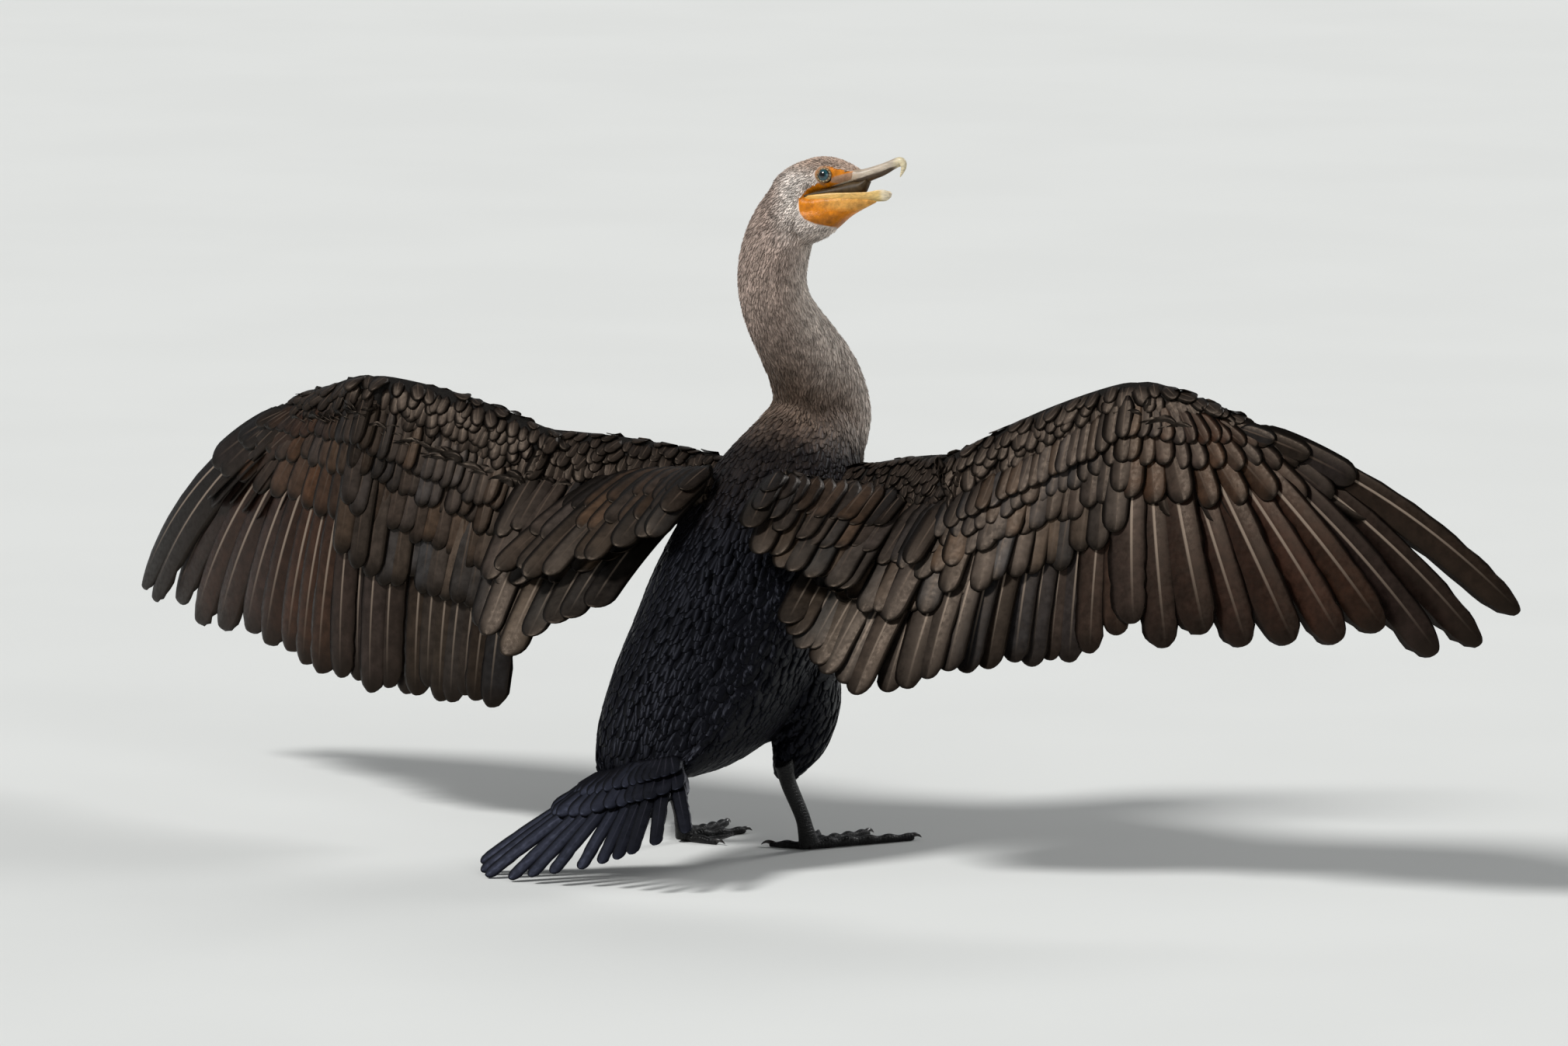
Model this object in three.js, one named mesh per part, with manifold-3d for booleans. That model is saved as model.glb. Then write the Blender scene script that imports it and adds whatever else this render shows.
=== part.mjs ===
// A young double-crested cormorant, life size, drying its wings.
// Millimetres, +Z up. The bird faces +Y, its right side is +X, and its head looks to its right.
// It stands on the soles of both webbed feet and on the tips of its left tail feathers, all at one level.
import * as THREE from "three";
import { mergeVertices } from "three/addons/utils/BufferGeometryUtils.js";
import Module from "manifold-3d";

const wasm = await Module();
wasm.setup();

// Driving dimensions. Places are measured from the point on the ground midway between the heels.
const GAP = 0.3; // clearance between neighbouring solids
const VANE_THICK = 0.6;

// Trunk stations from the tail coverts to the neck base: forward, up, half width, depth to the back and
// to the belly.
const TRUNK = [
  { y: -152, z: 72, wide: 34, deep: 11, belly: 11 },
  { y: -136, z: 86, wide: 46, deep: 22, belly: 27 },
  { y: -112, z: 102, wide: 56, deep: 37, belly: 46 },
  { y: -76, z: 124, wide: 65, deep: 52, belly: 68 },
  { y: -38, z: 150, wide: 70, deep: 61, belly: 83 },
  { y: 0, z: 184, wide: 73, deep: 65, belly: 82 },
  { y: 38, z: 222, wide: 69, deep: 64, belly: 73 },
  { y: 72, z: 256, wide: 60, deep: 58, belly: 60 },
  { y: 98, z: 284, wide: 46, deep: 48, belly: 48 },
  { y: 113, z: 302, wide: 38, deep: 42, belly: 42 },
];
const TRUNK_AROUND = 22;

// Neck stations from the trunk to the skull: the S-curve, with its two radii across and fore-and-aft.
const NECK = [
  { x: 0, y: 115, z: 304, wide: 37, deep: 40 },
  { x: 2, y: 110, z: 326, wide: 32, deep: 37 },
  { x: 4, y: 92, z: 347, wide: 28, deep: 34 },
  { x: 6, y: 70, z: 366, wide: 27, deep: 31 },
  { x: 6, y: 47, z: 389, wide: 26, deep: 28 },
  { x: 5, y: 37, z: 410, wide: 26, deep: 27 },
  { x: 6, y: 37, z: 432, wide: 26, deep: 27 },
  { x: 11, y: 42, z: 455, wide: 24, deep: 26 },
  { x: 22, y: 45, z: 478, wide: 20, deep: 22 },
];
const NECK_AROUND = 18;
const NECK_SPLIT = 4; // the station where the lower neck node ends

// The head's own frame: its origin is midway between the eyes and it looks along HEAD_YAW, turned from +Y
// to the right.
const HEAD_AT = new THREE.Vector3(53, 44, 493.8);
const HEAD_YAW = THREE.MathUtils.degToRad(93);
const HEAD_PITCH = THREE.MathUtils.degToRad(3.5); // the bill points a little up
const HEAD_ROLL = THREE.MathUtils.degToRad(13); // the right cheek is turned up
const HEAD_AROUND = 18;
// Skull stations: distance ahead of the eyes, half width, crown height and lower edge.
const SKULL = [
  { f: -49, wide: 10, top: -3, low: -20 },
  { f: -44, wide: 15.5, top: 3.4, low: -28 },
  { f: -33, wide: 19, top: 10.4, low: -33 },
  { f: -20, wide: 19.4, top: 14.6, low: -31 },
  { f: -15, wide: 18.8, top: 15.6, low: -16 },
  { f: -8, wide: 17.8, top: 16.2, low: -12.5 },
  { f: 2, wide: 15.6, top: 15, low: -9.6 },
  { f: 12, wide: 11.5, top: 11.6, low: -6.6 },
  { f: 20, wide: 8.2, top: 7.8, low: -3.9 },
  { f: 24, wide: 6.6, top: 6.2, low: -2.6 },
];
const EYE_RADIUS = 5.6;
const EYE_OUT = 11.6; // eyeball centre from the middle plane
const LID_RADIUS = 6.3;
// Upper bill from the forehead to the hook.
const UPPER_BILL = [
  { f: 24.3, wide: 6.4, top: 6.1, low: -2.6 },
  { f: 33, wide: 5.0, top: 7.9, low: 0.8 },
  { f: 44, wide: 3.9, top: 11.2, low: 4.6 },
  { f: 51, wide: 3.6, top: 13.8, low: 7.2 },
  { f: 55, wide: 3.4, top: 15.2, low: 8.2 },
];
const HOOK = { f: 55, z: 10.6, bend: 4.6, thick: 3.2, tip: [57.4, 0.4] };
const NOSTRIL = { f: 31, z: 3.6, long: 6 };
// Lower bill: two rami that meet ahead of the pouch. Top and bottom edges, and how far the rami stand apart.
const LOWER_BILL = [
  { f: -17, wide: 17.2, top: -14.6, low: -27 },
  { f: -8, wide: 16.2, top: -13.8, low: -27 },
  { f: 6, wide: 13.2, top: -12.8, low: -24.6 },
  { f: 20, wide: 9.6, top: -12.2, low: -21 },
  { f: 33, wide: 6.0, top: -11.2, low: -18 },
  { f: 41, wide: 4.1, top: -9.6, low: -17.4 },
  { f: 46.5, wide: 3.4, top: -9.4, low: -17 },
  { f: 50, wide: 1.8, top: -11.2, low: -14.6 },
];
// Gular pouch under the lower bill, down to the throat.
const POUCH = [
  { f: 37, wide: 3.0, top: -17.8, low: -19.2 },
  { f: 26, wide: 7.4, top: -19.6, low: -23.8 },
  { f: 14, wide: 11.0, top: -22.6, low: -29.6 },
  { f: 3, wide: 13.4, top: -25.6, low: -38.2 },
  { f: -8, wide: 15.4, top: -27.4, low: -45.4 },
  { f: -22, wide: 16.6, top: -27.6, low: -50 },
];

// Legs: ankle, heel and toes. Toe angles turn outwards from straight ahead.
const ANKLE = { x: 47, y: -16, z: 66 };
const HEEL = { x: 49, y: 10, z: 13 };
const FOOT_TURN = THREE.MathUtils.degToRad(8);
const TOES = [
  { name: "outer", turn: 24, long: 88, thick: 4.2 },
  { name: "middle", turn: -2, long: 76, thick: 4.2 },
  { name: "inner", turn: -30, long: 56, thick: 3.9 },
  { name: "hind", turn: -104, long: 30, thick: 3.4 },
];
const STRIDE = 12; // the right foot stands this far ahead of the left one
const WEB_THICK = 2.2;
const CLAW_LONG = 9;
const THIGH_OUT = 44; // from the middle plane at the height THIGH_FOOT, a little more above it
const THIGH_FOOT = 62;
const THIGH_SPLAY = 0.02;
const THIGH = [
  { y: 20, z: 136, wide: 20, deep: 40 },
  { y: 14, z: 112, wide: 24, deep: 44 },
  { y: 6, z: 88, wide: 22, deep: 37 },
  { y: -6, z: 68, wide: 14, deep: 21 },
  { y: -14, z: 56, wide: 8, deep: 10 },
];

// Wings. Bone ends and feather tips are places in the bird's frame.
const at = (x, y, z) => new THREE.Vector3(x, y, z);
const WINGS = {
  right: {
    side: 1,
    shoulder: at(50, 62, 248),
    elbow: at(181, 6, 270),
    wrist: at(311, 32, 350),
    hand: at(404, 21, 334),
    // Tips of the primaries from the outermost inwards, then of the secondaries out to the elbow.
    primaryTips: [
      at(623, 24, 221), at(600, 16, 195), at(572, 0, 193), at(540, -14, 205), at(510, -24, 196),
      at(477, -32, 191), at(440, -36, 187), at(408, -40, 196), at(376, -42, 186), at(350, -42, 196),
    ],
    secondaryTips: [
      at(336, -42, 188), at(292, -38, 166), at(262, -44, 164), at(232, -62, 156), at(204, -78, 150),
      at(168, -84, 136),
    ],
    tertialTips: [
      at(150, -88, 140), at(120, -84, 152), at(96, -80, 162), at(78, -70, 178),
    ],
    scapularTips: [
      at(120, -56, 202), at(98, -58, 204), at(76, -58, 206), at(58, -52, 216), at(36, -46, 238),
    ],
    dorsal: { inner: at(0.12, -0.84, 0.52), outer: at(0.1, -0.95, 0.3) },
  },
  left: {
    side: -1,
    shoulder: at(-50, 62, 248),
    elbow: at(-189, 20, 262),
    wrist: at(-335, 28, 313),
    hand: at(-422, 55, 288),
    primaryTips: [
      at(-602, 122, 135), at(-588, 114, 127), at(-562, 104, 128), at(-530, 88, 120), at(-498, 70, 116),
      at(-462, 52, 124), at(-434, 34, 116), at(-407, 18, 108), at(-384, 6, 106), at(-362, -6, 102),
    ],
    secondaryTips: [
      at(-340, -14, 98), at(-306, -18, 96), at(-277, -20, 98), at(-250, -24, 98), at(-226, -30, 92),
      at(-196, -34, 96),
    ],
    tertialTips: [
      at(-185, -72, 150), at(-161, -84, 150), at(-138, -92, 149), at(-106, -94, 166), at(-80, -84, 184),
    ],
    scapularTips: [
      at(-172, -58, 192), at(-140, -66, 196), at(-104, -66, 208), at(-72, -60, 216), at(-46, -50, 232),
    ],
    dorsal: { inner: at(-0.05, -0.86, 0.5), outer: at(-0.42, -0.84, 0.34) },
  },
};
// The shoulder blade lies on the back from the upper arm towards the spine.
const SHOULDER_BLADE = at(54, 22, 258);
const BLADE_END = at(30, 4, 270);
const PRIMARIES = 10;
const SECONDARIES = 14;
const TERTIALS = 6;
const SCAPULARS = 6;
const SHINGLE = THREE.MathUtils.degToRad(8); // how far each feather is turned about its shaft

// Tail fan: roots along a short row that rises to the bird's right, and tips of the key feathers from left
// to right.
const TAIL_ROOT = { x: 3, y: -146, z: 78, halfRow: 24, rise: 7 };
const TAIL_FEATHERS = 12;
const TAIL_HALF = 8.5; // half a tail feather's width
const TAIL_SHINGLE = 0.16; // how far, in radians, the outermost ones are turned about their shafts
const TAIL_TIPS = [
  at(-104, -196, 8), at(-95, -212, 0.4), at(-65, -221, 0.4), at(-34, -222, 8), at(-4, -214, 14),
  at(22, -222, 24), at(48, -226, 32), at(75, -206, 46),
];

// Forms that several pieces use.
const UP = at(0, 0, 1);

// A closed mesh as a solid that can be cut and joined.
function solidOf(geometry) {
  const bare = geometry.clone();
  bare.deleteAttribute("normal");
  bare.deleteAttribute("uv");
  const merged = mergeVertices(bare, 1e-4);
  const mesh = new wasm.Mesh({
    numProp: 3,
    vertProperties: merged.attributes.position.array,
    triVerts: new Uint32Array(merged.index.array),
  });
  return new wasm.Manifold(mesh);
}

// The largest closed surface of a solid, as a geometry.
function geometryOf(solid) {
  const largest = solid.decompose().reduce((a, b) => (b.volume() > a.volume() ? b : a));
  const mesh = largest.getMesh();
  const geometry = new THREE.BufferGeometry();
  geometry.setAttribute("position", new THREE.BufferAttribute(new Float32Array(mesh.vertProperties), 3));
  geometry.setIndex(new THREE.BufferAttribute(new Uint32Array(mesh.triVerts), 1));
  geometry.computeVertexNormals();
  return geometry;
}

const joined = (solids) => wasm.Manifold.union(solids);

// A closed skin through rings that all have the same number of points, capped at both ends.
function loft(rings) {
  const around = rings[0].length;
  const points = rings.flat();
  const faces = [];
  for (let i = 0; i + 1 < rings.length; i++)
    for (let j = 0; j < around; j++) {
      const k = (j + 1) % around;
      const [a, b, c, d] = [i * around + j, i * around + k, (i + 1) * around + k, (i + 1) * around + j];
      faces.push(a, b, c, a, c, d);
    }
  for (const [ring, turned] of [[0, true], [rings.length - 1, false]]) {
    const middle = rings[ring].reduce((sum, p) => sum.add(p), at(0, 0, 0)).divideScalar(around);
    const hub = points.push(middle) - 1;
    for (let j = 0; j < around; j++) {
      const [a, b] = [ring * around + j, ring * around + ((j + 1) % around)];
      faces.push(...(turned ? [hub, b, a] : [hub, a, b]));
    }
  }
  const geometry = new THREE.BufferGeometry().setFromPoints(points);
  geometry.setIndex(faces);
  const solid = solidOf(geometry);
  if (solid.volume() > 0) return solid;
  const turned = faces.map((_, i) => faces[i - (i % 3) + [0, 2, 1][i % 3]]);
  geometry.setIndex(turned);
  return solidOf(geometry);
}

// An oval ring in the plane of two unit vectors. The lower half may be deeper than the upper one.
function oval(centre, side, up, wide, high, low, around) {
  return Array.from({ length: around }, (_, j) => {
    const turn = (2 * Math.PI * j) / around;
    const rise = Math.sin(turn);
    return centre
      .clone()
      .addScaledVector(side, wide * Math.cos(turn))
      .addScaledVector(up, rise * (rise > 0 ? high : low));
  });
}

const smoothCurve = (points) => new THREE.CatmullRomCurve3(points, false, "centripetal");

// Smooth values between stations: each named size runs through a Catmull-Rom curve.
function between(stations, steps) {
  const keys = Object.keys(stations[0]);
  const curves = keys.map((key) => smoothCurve(stations.map((s, i) => at(i, s[key], 0))));
  return Array.from({ length: steps + 1 }, (_, i) => {
    const sizes = keys.map((key, k) => [key, curves[k].getPoint(i / steps).y]);
    return Object.fromEntries(sizes);
  });
}

// A limb of oval section along stations with x, y, z, wide and deep. wide runs along across and deep square
// to it.
function limb(stations, across, around, grow = 0) {
  const places = stations.map((s) => at(s.x ?? 0, s.y, s.z));
  const rings = stations.map((s, i) => {
    const [before, after] = [places[Math.max(i - 1, 0)], places[Math.min(i + 1, places.length - 1)]];
    const run = after.clone().sub(before).normalize();
    const side = across.clone().addScaledVector(run, -across.dot(run)).normalize();
    const up = side.clone().cross(run);
    return oval(places[i], side, up, s.wide + grow, s.deep + grow, (s.belly ?? s.deep) + grow, around);
  });
  return loft(rings);
}

// Head frame to bird frame.
const LEVEL_SIDE = at(Math.cos(HEAD_YAW), -Math.sin(HEAD_YAW), 0);
const AHEAD = at(Math.sin(HEAD_YAW), Math.cos(HEAD_YAW), 0).applyAxisAngle(LEVEL_SIDE, HEAD_PITCH);
const HEAD_SIDE = LEVEL_SIDE.clone().applyAxisAngle(AHEAD, -HEAD_ROLL); // towards the right cheek
const CROWN = HEAD_SIDE.clone().cross(AHEAD);
const inHead = (f, out, z) =>
  HEAD_AT.clone().addScaledVector(AHEAD, f).addScaledVector(HEAD_SIDE, out).addScaledVector(CROWN, z);

// A form of the head from stations with f, wide, top and low.
function headForm(stations, around, grow = 0) {
  return loft(
    stations.map((s) => {
      const half = (s.top - s.low) / 2 + grow;
      return oval(inHead(s.f, 0, (s.top + s.low) / 2), HEAD_SIDE, CROWN, s.wide + grow, half, half, around);
    }),
  );
}

// A vane: a thin leaf that lies along the arch from a bone to a feather's tip. across is the way its outer
// edge points, dorsal the side that shows. It covers the part of the arch from ahead of the bone to reach,
// lift above it. shape lists how far along the leaf each station is and how wide it is there. sag is the
// arch's height and bow its bend towards the outer edge, both as shares of its length.
const FLIGHT_SHAPE = [[0, 0.34], [0.22, 0.9], [0.82, 1], [1, 0.3]];
const FINGER_SHAPE = [[0, 0.3], [0.4, 1], [0.62, 0.74], [0.9, 0.62], [1, 0.2]];
const COVERT_SHAPE = [[0, 0.5], [0.72, 1], [1, 0.36]];
function vane(bone, tip, dorsal, form) {
  const { outer, inner, shape, sag = 0.04, bow = 0, turn = 0, side = 1 } = form;
  const { reach = 1, ahead = 0, lift = 0 } = form;
  const length = bone.distanceTo(tip);
  const run = tip.clone().sub(bone).normalize();
  const flat = dorsal.clone().addScaledVector(run, -dorsal.dot(run)).normalize();
  const level = flat.clone().cross(run).multiplyScalar(side);
  const up = flat.clone().applyAxisAngle(run, turn);
  const across = up.clone().cross(run).multiplyScalar(side);
  const half = VANE_THICK / 2;
  const rings = shape.map(([part, wide]) => {
    const s = THREE.MathUtils.lerp(-ahead, reach, part);
    const arch = 4 * s * (1 - s) * length;
    const middle = bone.clone().lerp(tip, s);
    middle.addScaledVector(flat, sag * arch + lift).addScaledVector(level, bow * arch);
    const place = (out, rise) =>
      middle.clone().addScaledVector(across, out * wide).addScaledVector(up, rise);
    return [place(outer, half), place(-inner, half), place(-inner, -half), place(outer, -half)];
  });
  return loft(rings);
}

// Materials, one for each finish.
const finish = (color, roughness) => new THREE.MeshStandardMaterial({ color, roughness, metalness: 0 });
const FINISH = {
  bodyFeather: finish(0x15120f, 0.75),
  neckFeather: finish(0x6f6157, 0.85),
  wingFeather: finish(0x3b302a, 0.5),
  tailFeather: finish(0x17161a, 0.5),
  bill: finish(0xb9a58c, 0.45),
  pouch: finish(0xe58a1f, 0.55),
  eye: finish(0x0f5f66, 0.1),
  legSkin: finish(0x121113, 0.4),
};

const bird = new THREE.Group();
function add(name, solid, material) {
  const mesh = new THREE.Mesh(geometryOf(solid), material);
  mesh.name = name;
  bird.add(mesh);
}

// Trunk.
const trunkStations = between(TRUNK, 14);
const ACROSS = at(1, 0, 0);
const trunk = (grow) => limb(trunkStations, ACROSS, TRUNK_AROUND, grow);
const trunkCut = trunk(GAP);

// Neck, in two lengths.
const neckSteps = 2;
const neckStations = between(NECK, (NECK.length - 1) * neckSteps);
const neckAcross = at(0.8, -0.6, 0);
const skull = (grow) => headForm(between(SKULL, 12), HEAD_AROUND, grow);
const skullCut = skull(GAP);
const splitAt = NECK_SPLIT * neckSteps;
const lowerNeck = (grow) => limb(neckStations.slice(0, splitAt + 1), neckAcross, NECK_AROUND, grow);
const upperNeck = (grow) => limb(neckStations.slice(splitAt), neckAcross, NECK_AROUND, grow);
add("torso", trunk(0), FINISH.bodyFeather);
add("neck_lower", lowerNeck(0).subtract(trunkCut), FINISH.neckFeather);
const upperNeckSolid = upperNeck(0).subtract(lowerNeck(GAP)).subtract(skullCut);
add("neck_upper", upperNeckSolid, FINISH.neckFeather);

// Eyes: a ball in a socket, with a raised ring of lid round it.
function ball(centre, radius) {
  return solidOf(new THREE.SphereGeometry(radius, 14, 10).translate(centre.x, centre.y, centre.z));
}
function lidRing(side) {
  const turned = new THREE.TorusGeometry(LID_RADIUS - 0.4, 1.1, 6, 14);
  turned.lookAt(HEAD_SIDE.clone().multiplyScalar(side).addScaledVector(AHEAD, 0.3));
  const centre = inHead(0.9, side * (EYE_OUT + 2.7), 0);
  return solidOf(turned.translate(centre.x, centre.y, centre.z));
}
const eyes = { right: inHead(0, EYE_OUT, 0), left: inHead(0, -EYE_OUT, 0) };
let headSolid = joined([skull(0), lidRing(1), lidRing(-1)]);
for (const [side, centre] of Object.entries(eyes)) {
  headSolid = headSolid.subtract(ball(centre, EYE_RADIUS + GAP));
  add("eye_" + side, ball(centre, EYE_RADIUS), FINISH.eye);
}
add("head", headSolid, FINISH.neckFeather);

// Upper bill, with its hooked nail and the nostril groove on each side.
function hook() {
  const start = [HOOK.f - 3, HOOK.z + 1.2];
  const path = new THREE.CubicBezierCurve(
    new THREE.Vector2(...start),
    new THREE.Vector2(HOOK.f + 2.4, HOOK.z + HOOK.bend - 0.6),
    new THREE.Vector2(HOOK.f + 6, HOOK.z + 0.4),
    new THREE.Vector2(...HOOK.tip),
  );
  const rings = Array.from({ length: 7 }, (_, i) => {
    const t = i / 6;
    const p = path.getPoint(t);
    const d = path.getTangent(t);
    const up = AHEAD.clone().multiplyScalar(-d.y).addScaledVector(CROWN, d.x);
    const r = HOOK.thick * (1 - 0.78 * t);
    return oval(inHead(p.x, 0, p.y), HEAD_SIDE, up, r, r, r, 10);
  });
  return loft(rings);
}
function nostril(side) {
  const slot = new THREE.SphereGeometry(1, 8, 6).scale(NOSTRIL.long / 2, 0.7, 0.8);
  slot.rotateY(-0.22).rotateZ(Math.PI / 2 - HEAD_YAW);
  const centre = inHead(NOSTRIL.f, side * 5.1, NOSTRIL.z);
  return solidOf(slot.translate(centre.x, centre.y, centre.z));
}
const upperHorn = joined([headForm(between(UPPER_BILL, 7), 12), hook()]);
add("bill_upper", upperHorn.subtract(nostril(1)).subtract(nostril(-1)), FINISH.bill);

// Lower bill: the rami, hollowed between them as a trough that opens upwards.
const jawStations = between(LOWER_BILL, 12);
const TROUGH_STATIONS = 6; // the trough ends before the tip
const hollowed = LOWER_BILL.slice(0, TROUGH_STATIONS).map((s) => ({
  f: s.f,
  wide: s.wide - 2.6,
  top: s.top + 6,
  low: s.low + 4,
}));
const trough = headForm(between(hollowed, 8), 10);
const neckCut = joined([upperNeck(GAP), lowerNeck(GAP)]);
const lowerBill = headForm(jawStations, 12).subtract(trough).subtract(skullCut).subtract(neckCut);
add("bill_lower", lowerBill, FINISH.pouch);
const jawCut = headForm(jawStations, 12, GAP);
const pouch = headForm(between(POUCH, 8), 14).subtract(jawCut).subtract(skullCut).subtract(neckCut);
add("gular_pouch", pouch, FINISH.pouch);

// Legs and feet.
function legOf(side, solid) {
  return side > 0 ? solid : solid.mirror([1, 0, 0]).translate([0, -STRIDE, 0]);
}
const thighOut = (z) => THIGH_OUT + (z - THIGH_FOOT) * THIGH_SPLAY;
const thighStations = between(THIGH, 7).map((s) => ({ ...s, x: thighOut(s.z) }));
const thigh = (grow) => limb(thighStations, ACROSS, 16, grow);
function shank() {
  const stations = between(
    [
      { x: ANKLE.x, y: ANKLE.y - 1, z: ANKLE.z - 2, wide: 6, deep: 8.5 },
      { x: ANKLE.x, y: ANKLE.y + 4, z: ANKLE.z - 14, wide: 4.6, deep: 7.6 },
      { x: HEEL.x - 0.4, y: HEEL.y - 6, z: HEEL.z + 14, wide: 4.4, deep: 7 },
      { x: HEEL.x, y: HEEL.y, z: HEEL.z, wide: 5.4, deep: 8 },
      { x: HEEL.x, y: HEEL.y + 3, z: HEEL.z - 8, wide: 6.5, deep: 9.5 },
    ],
    8,
  );
  return limb(stations, ACROSS, 12);
}
const SLAB_WIDE = 2000; // wider than the bird
const SLAB_TOP = 600; // higher than the bird
function slab(low, high) {
  const block = new THREE.BoxGeometry(SLAB_WIDE, SLAB_WIDE, high - low);
  return solidOf(block.translate(0, 0, (low + high) / 2));
}
const aboveFloor = slab(0, SLAB_TOP);
const toeAngle = (toe) => FOOT_TURN + THREE.MathUtils.degToRad(toe.turn);
const heelPlace = at(HEEL.x, HEEL.y + 2, 3);
const toeRun = (toe) => at(Math.sin(toeAngle(toe)), Math.cos(toeAngle(toe)), 0);
const toeTip = (toe) => heelPlace.clone().addScaledVector(toeRun(toe), toe.long);
function toeForm(toe) {
  const end = toeTip(toe);
  const run = toeRun(toe);
  const side = run.clone().cross(UP);
  const rings = [0, 0.36, 0.5, 0.66, 0.82, 1].map((s, i) => {
    const knuckle = i % 2 ? 0.82 : 1;
    const r = toe.thick * knuckle * (1.15 - 0.45 * s) * (s === 1 ? 0.5 : 1);
    return oval(heelPlace.clone().lerp(end, s).setZ(r * 0.8), side, UP, r, r, r, 6);
  });
  const claw = [0, 0.5, 1].map((s) => {
    const r = 2 * (1 - 0.85 * s);
    const high = 2.6 + 1.6 * s * (1 - s) * 4 - 2.2 * s + r * 0.2; // it arches up and comes down to its tip
    const place = end.clone().addScaledVector(run, -2 + s * CLAW_LONG).setZ(high);
    return oval(place, side, UP, r, r, r, 6);
  });
  return joined([loft(rings), loft(claw)]);
}
// The web's edge is a shallow curve between neighbouring toe tips.
function web() {
  const outline = [];
  const corner = (p) => outline.push(new THREE.Vector2(p.x, p.y));
  TOES.forEach((toe, i) => {
    corner(toeTip(toe));
    const next = TOES[i + 1];
    if (!next) return;
    const middle = toeTip(toe).add(toeTip(next)).multiplyScalar(0.5);
    corner(middle.lerp(heelPlace, 0.13));
  });
  corner(heelPlace.clone().add(at(2, -6, 0)));
  const shape = new THREE.Shape(outline);
  return solidOf(new THREE.ExtrudeGeometry(shape, { depth: WEB_THICK, bevelEnabled: false }));
}
const footTop = HEEL.z;
const heelStump = shank().intersect(slab(1, footTop));
const foot = joined([web(), ...TOES.map(toeForm), heelStump]).intersect(aboveFloor);
const shankSolid = shank().intersect(slab(footTop + GAP, SLAB_TOP)).subtract(thigh(GAP));
for (const [name, side] of [["right", 1], ["left", -1]]) {
  add("thigh_" + name, legOf(side, thigh(0)).subtract(trunkCut), FINISH.bodyFeather);
  add("shank_" + name, legOf(side, shankSolid), FINISH.legSkin);
  add("foot_" + name, legOf(side, foot), FINISH.legSkin);
}

// Tail: a fan of stiff feathers from a short fleshy root.
const along = (points, t) => smoothCurve(points).getPoint(THREE.MathUtils.clamp(t, 0, 1));
const TAIL_ROW = at(TAIL_ROOT.halfRow, 0, TAIL_ROOT.rise);
const TAIL_DORSAL = at(0.16, -0.62, 0.77).normalize();
const tailFeathers = Array.from({ length: TAIL_FEATHERS }, (_, i) => {
  const t = i / (TAIL_FEATHERS - 1);
  const spread = 2 * t - 1;
  const root = at(TAIL_ROOT.x, TAIL_ROOT.y, TAIL_ROOT.z).addScaledVector(TAIL_ROW, spread);
  const tip = along(TAIL_TIPS, t);
  const centred = 1 - Math.abs(spread); // the middle feathers lie on top
  root.addScaledVector(TAIL_DORSAL, 3 * centred);
  tip.addScaledVector(TAIL_DORSAL, tip.z < 3 ? 0 : 3 * centred);
  const form = { outer: TAIL_HALF, inner: TAIL_HALF, shape: FLIGHT_SHAPE, sag: 0.02 };
  return vane(root, tip, TAIL_DORSAL, { ...form, turn: spread * TAIL_SHINGLE });
});
const tailRoot = limb(
  [
    { x: TAIL_ROOT.x, y: TAIL_ROOT.y + 14, z: TAIL_ROOT.z + 10, wide: 32, deep: 10 },
    { x: TAIL_ROOT.x, y: TAIL_ROOT.y - 14, z: TAIL_ROOT.z - 12, wide: 36, deep: 8 },
    { x: TAIL_ROOT.x - 2, y: TAIL_ROOT.y - 32, z: TAIL_ROOT.z - 27, wide: 39, deep: 4 },
  ],
  TAIL_ROW.clone().normalize(),
  14,
);
const tail = joined([tailRoot, ...tailFeathers]).subtract(trunkCut).intersect(aboveFloor);
add("tail", tail, FINISH.tailFeather);

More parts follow.
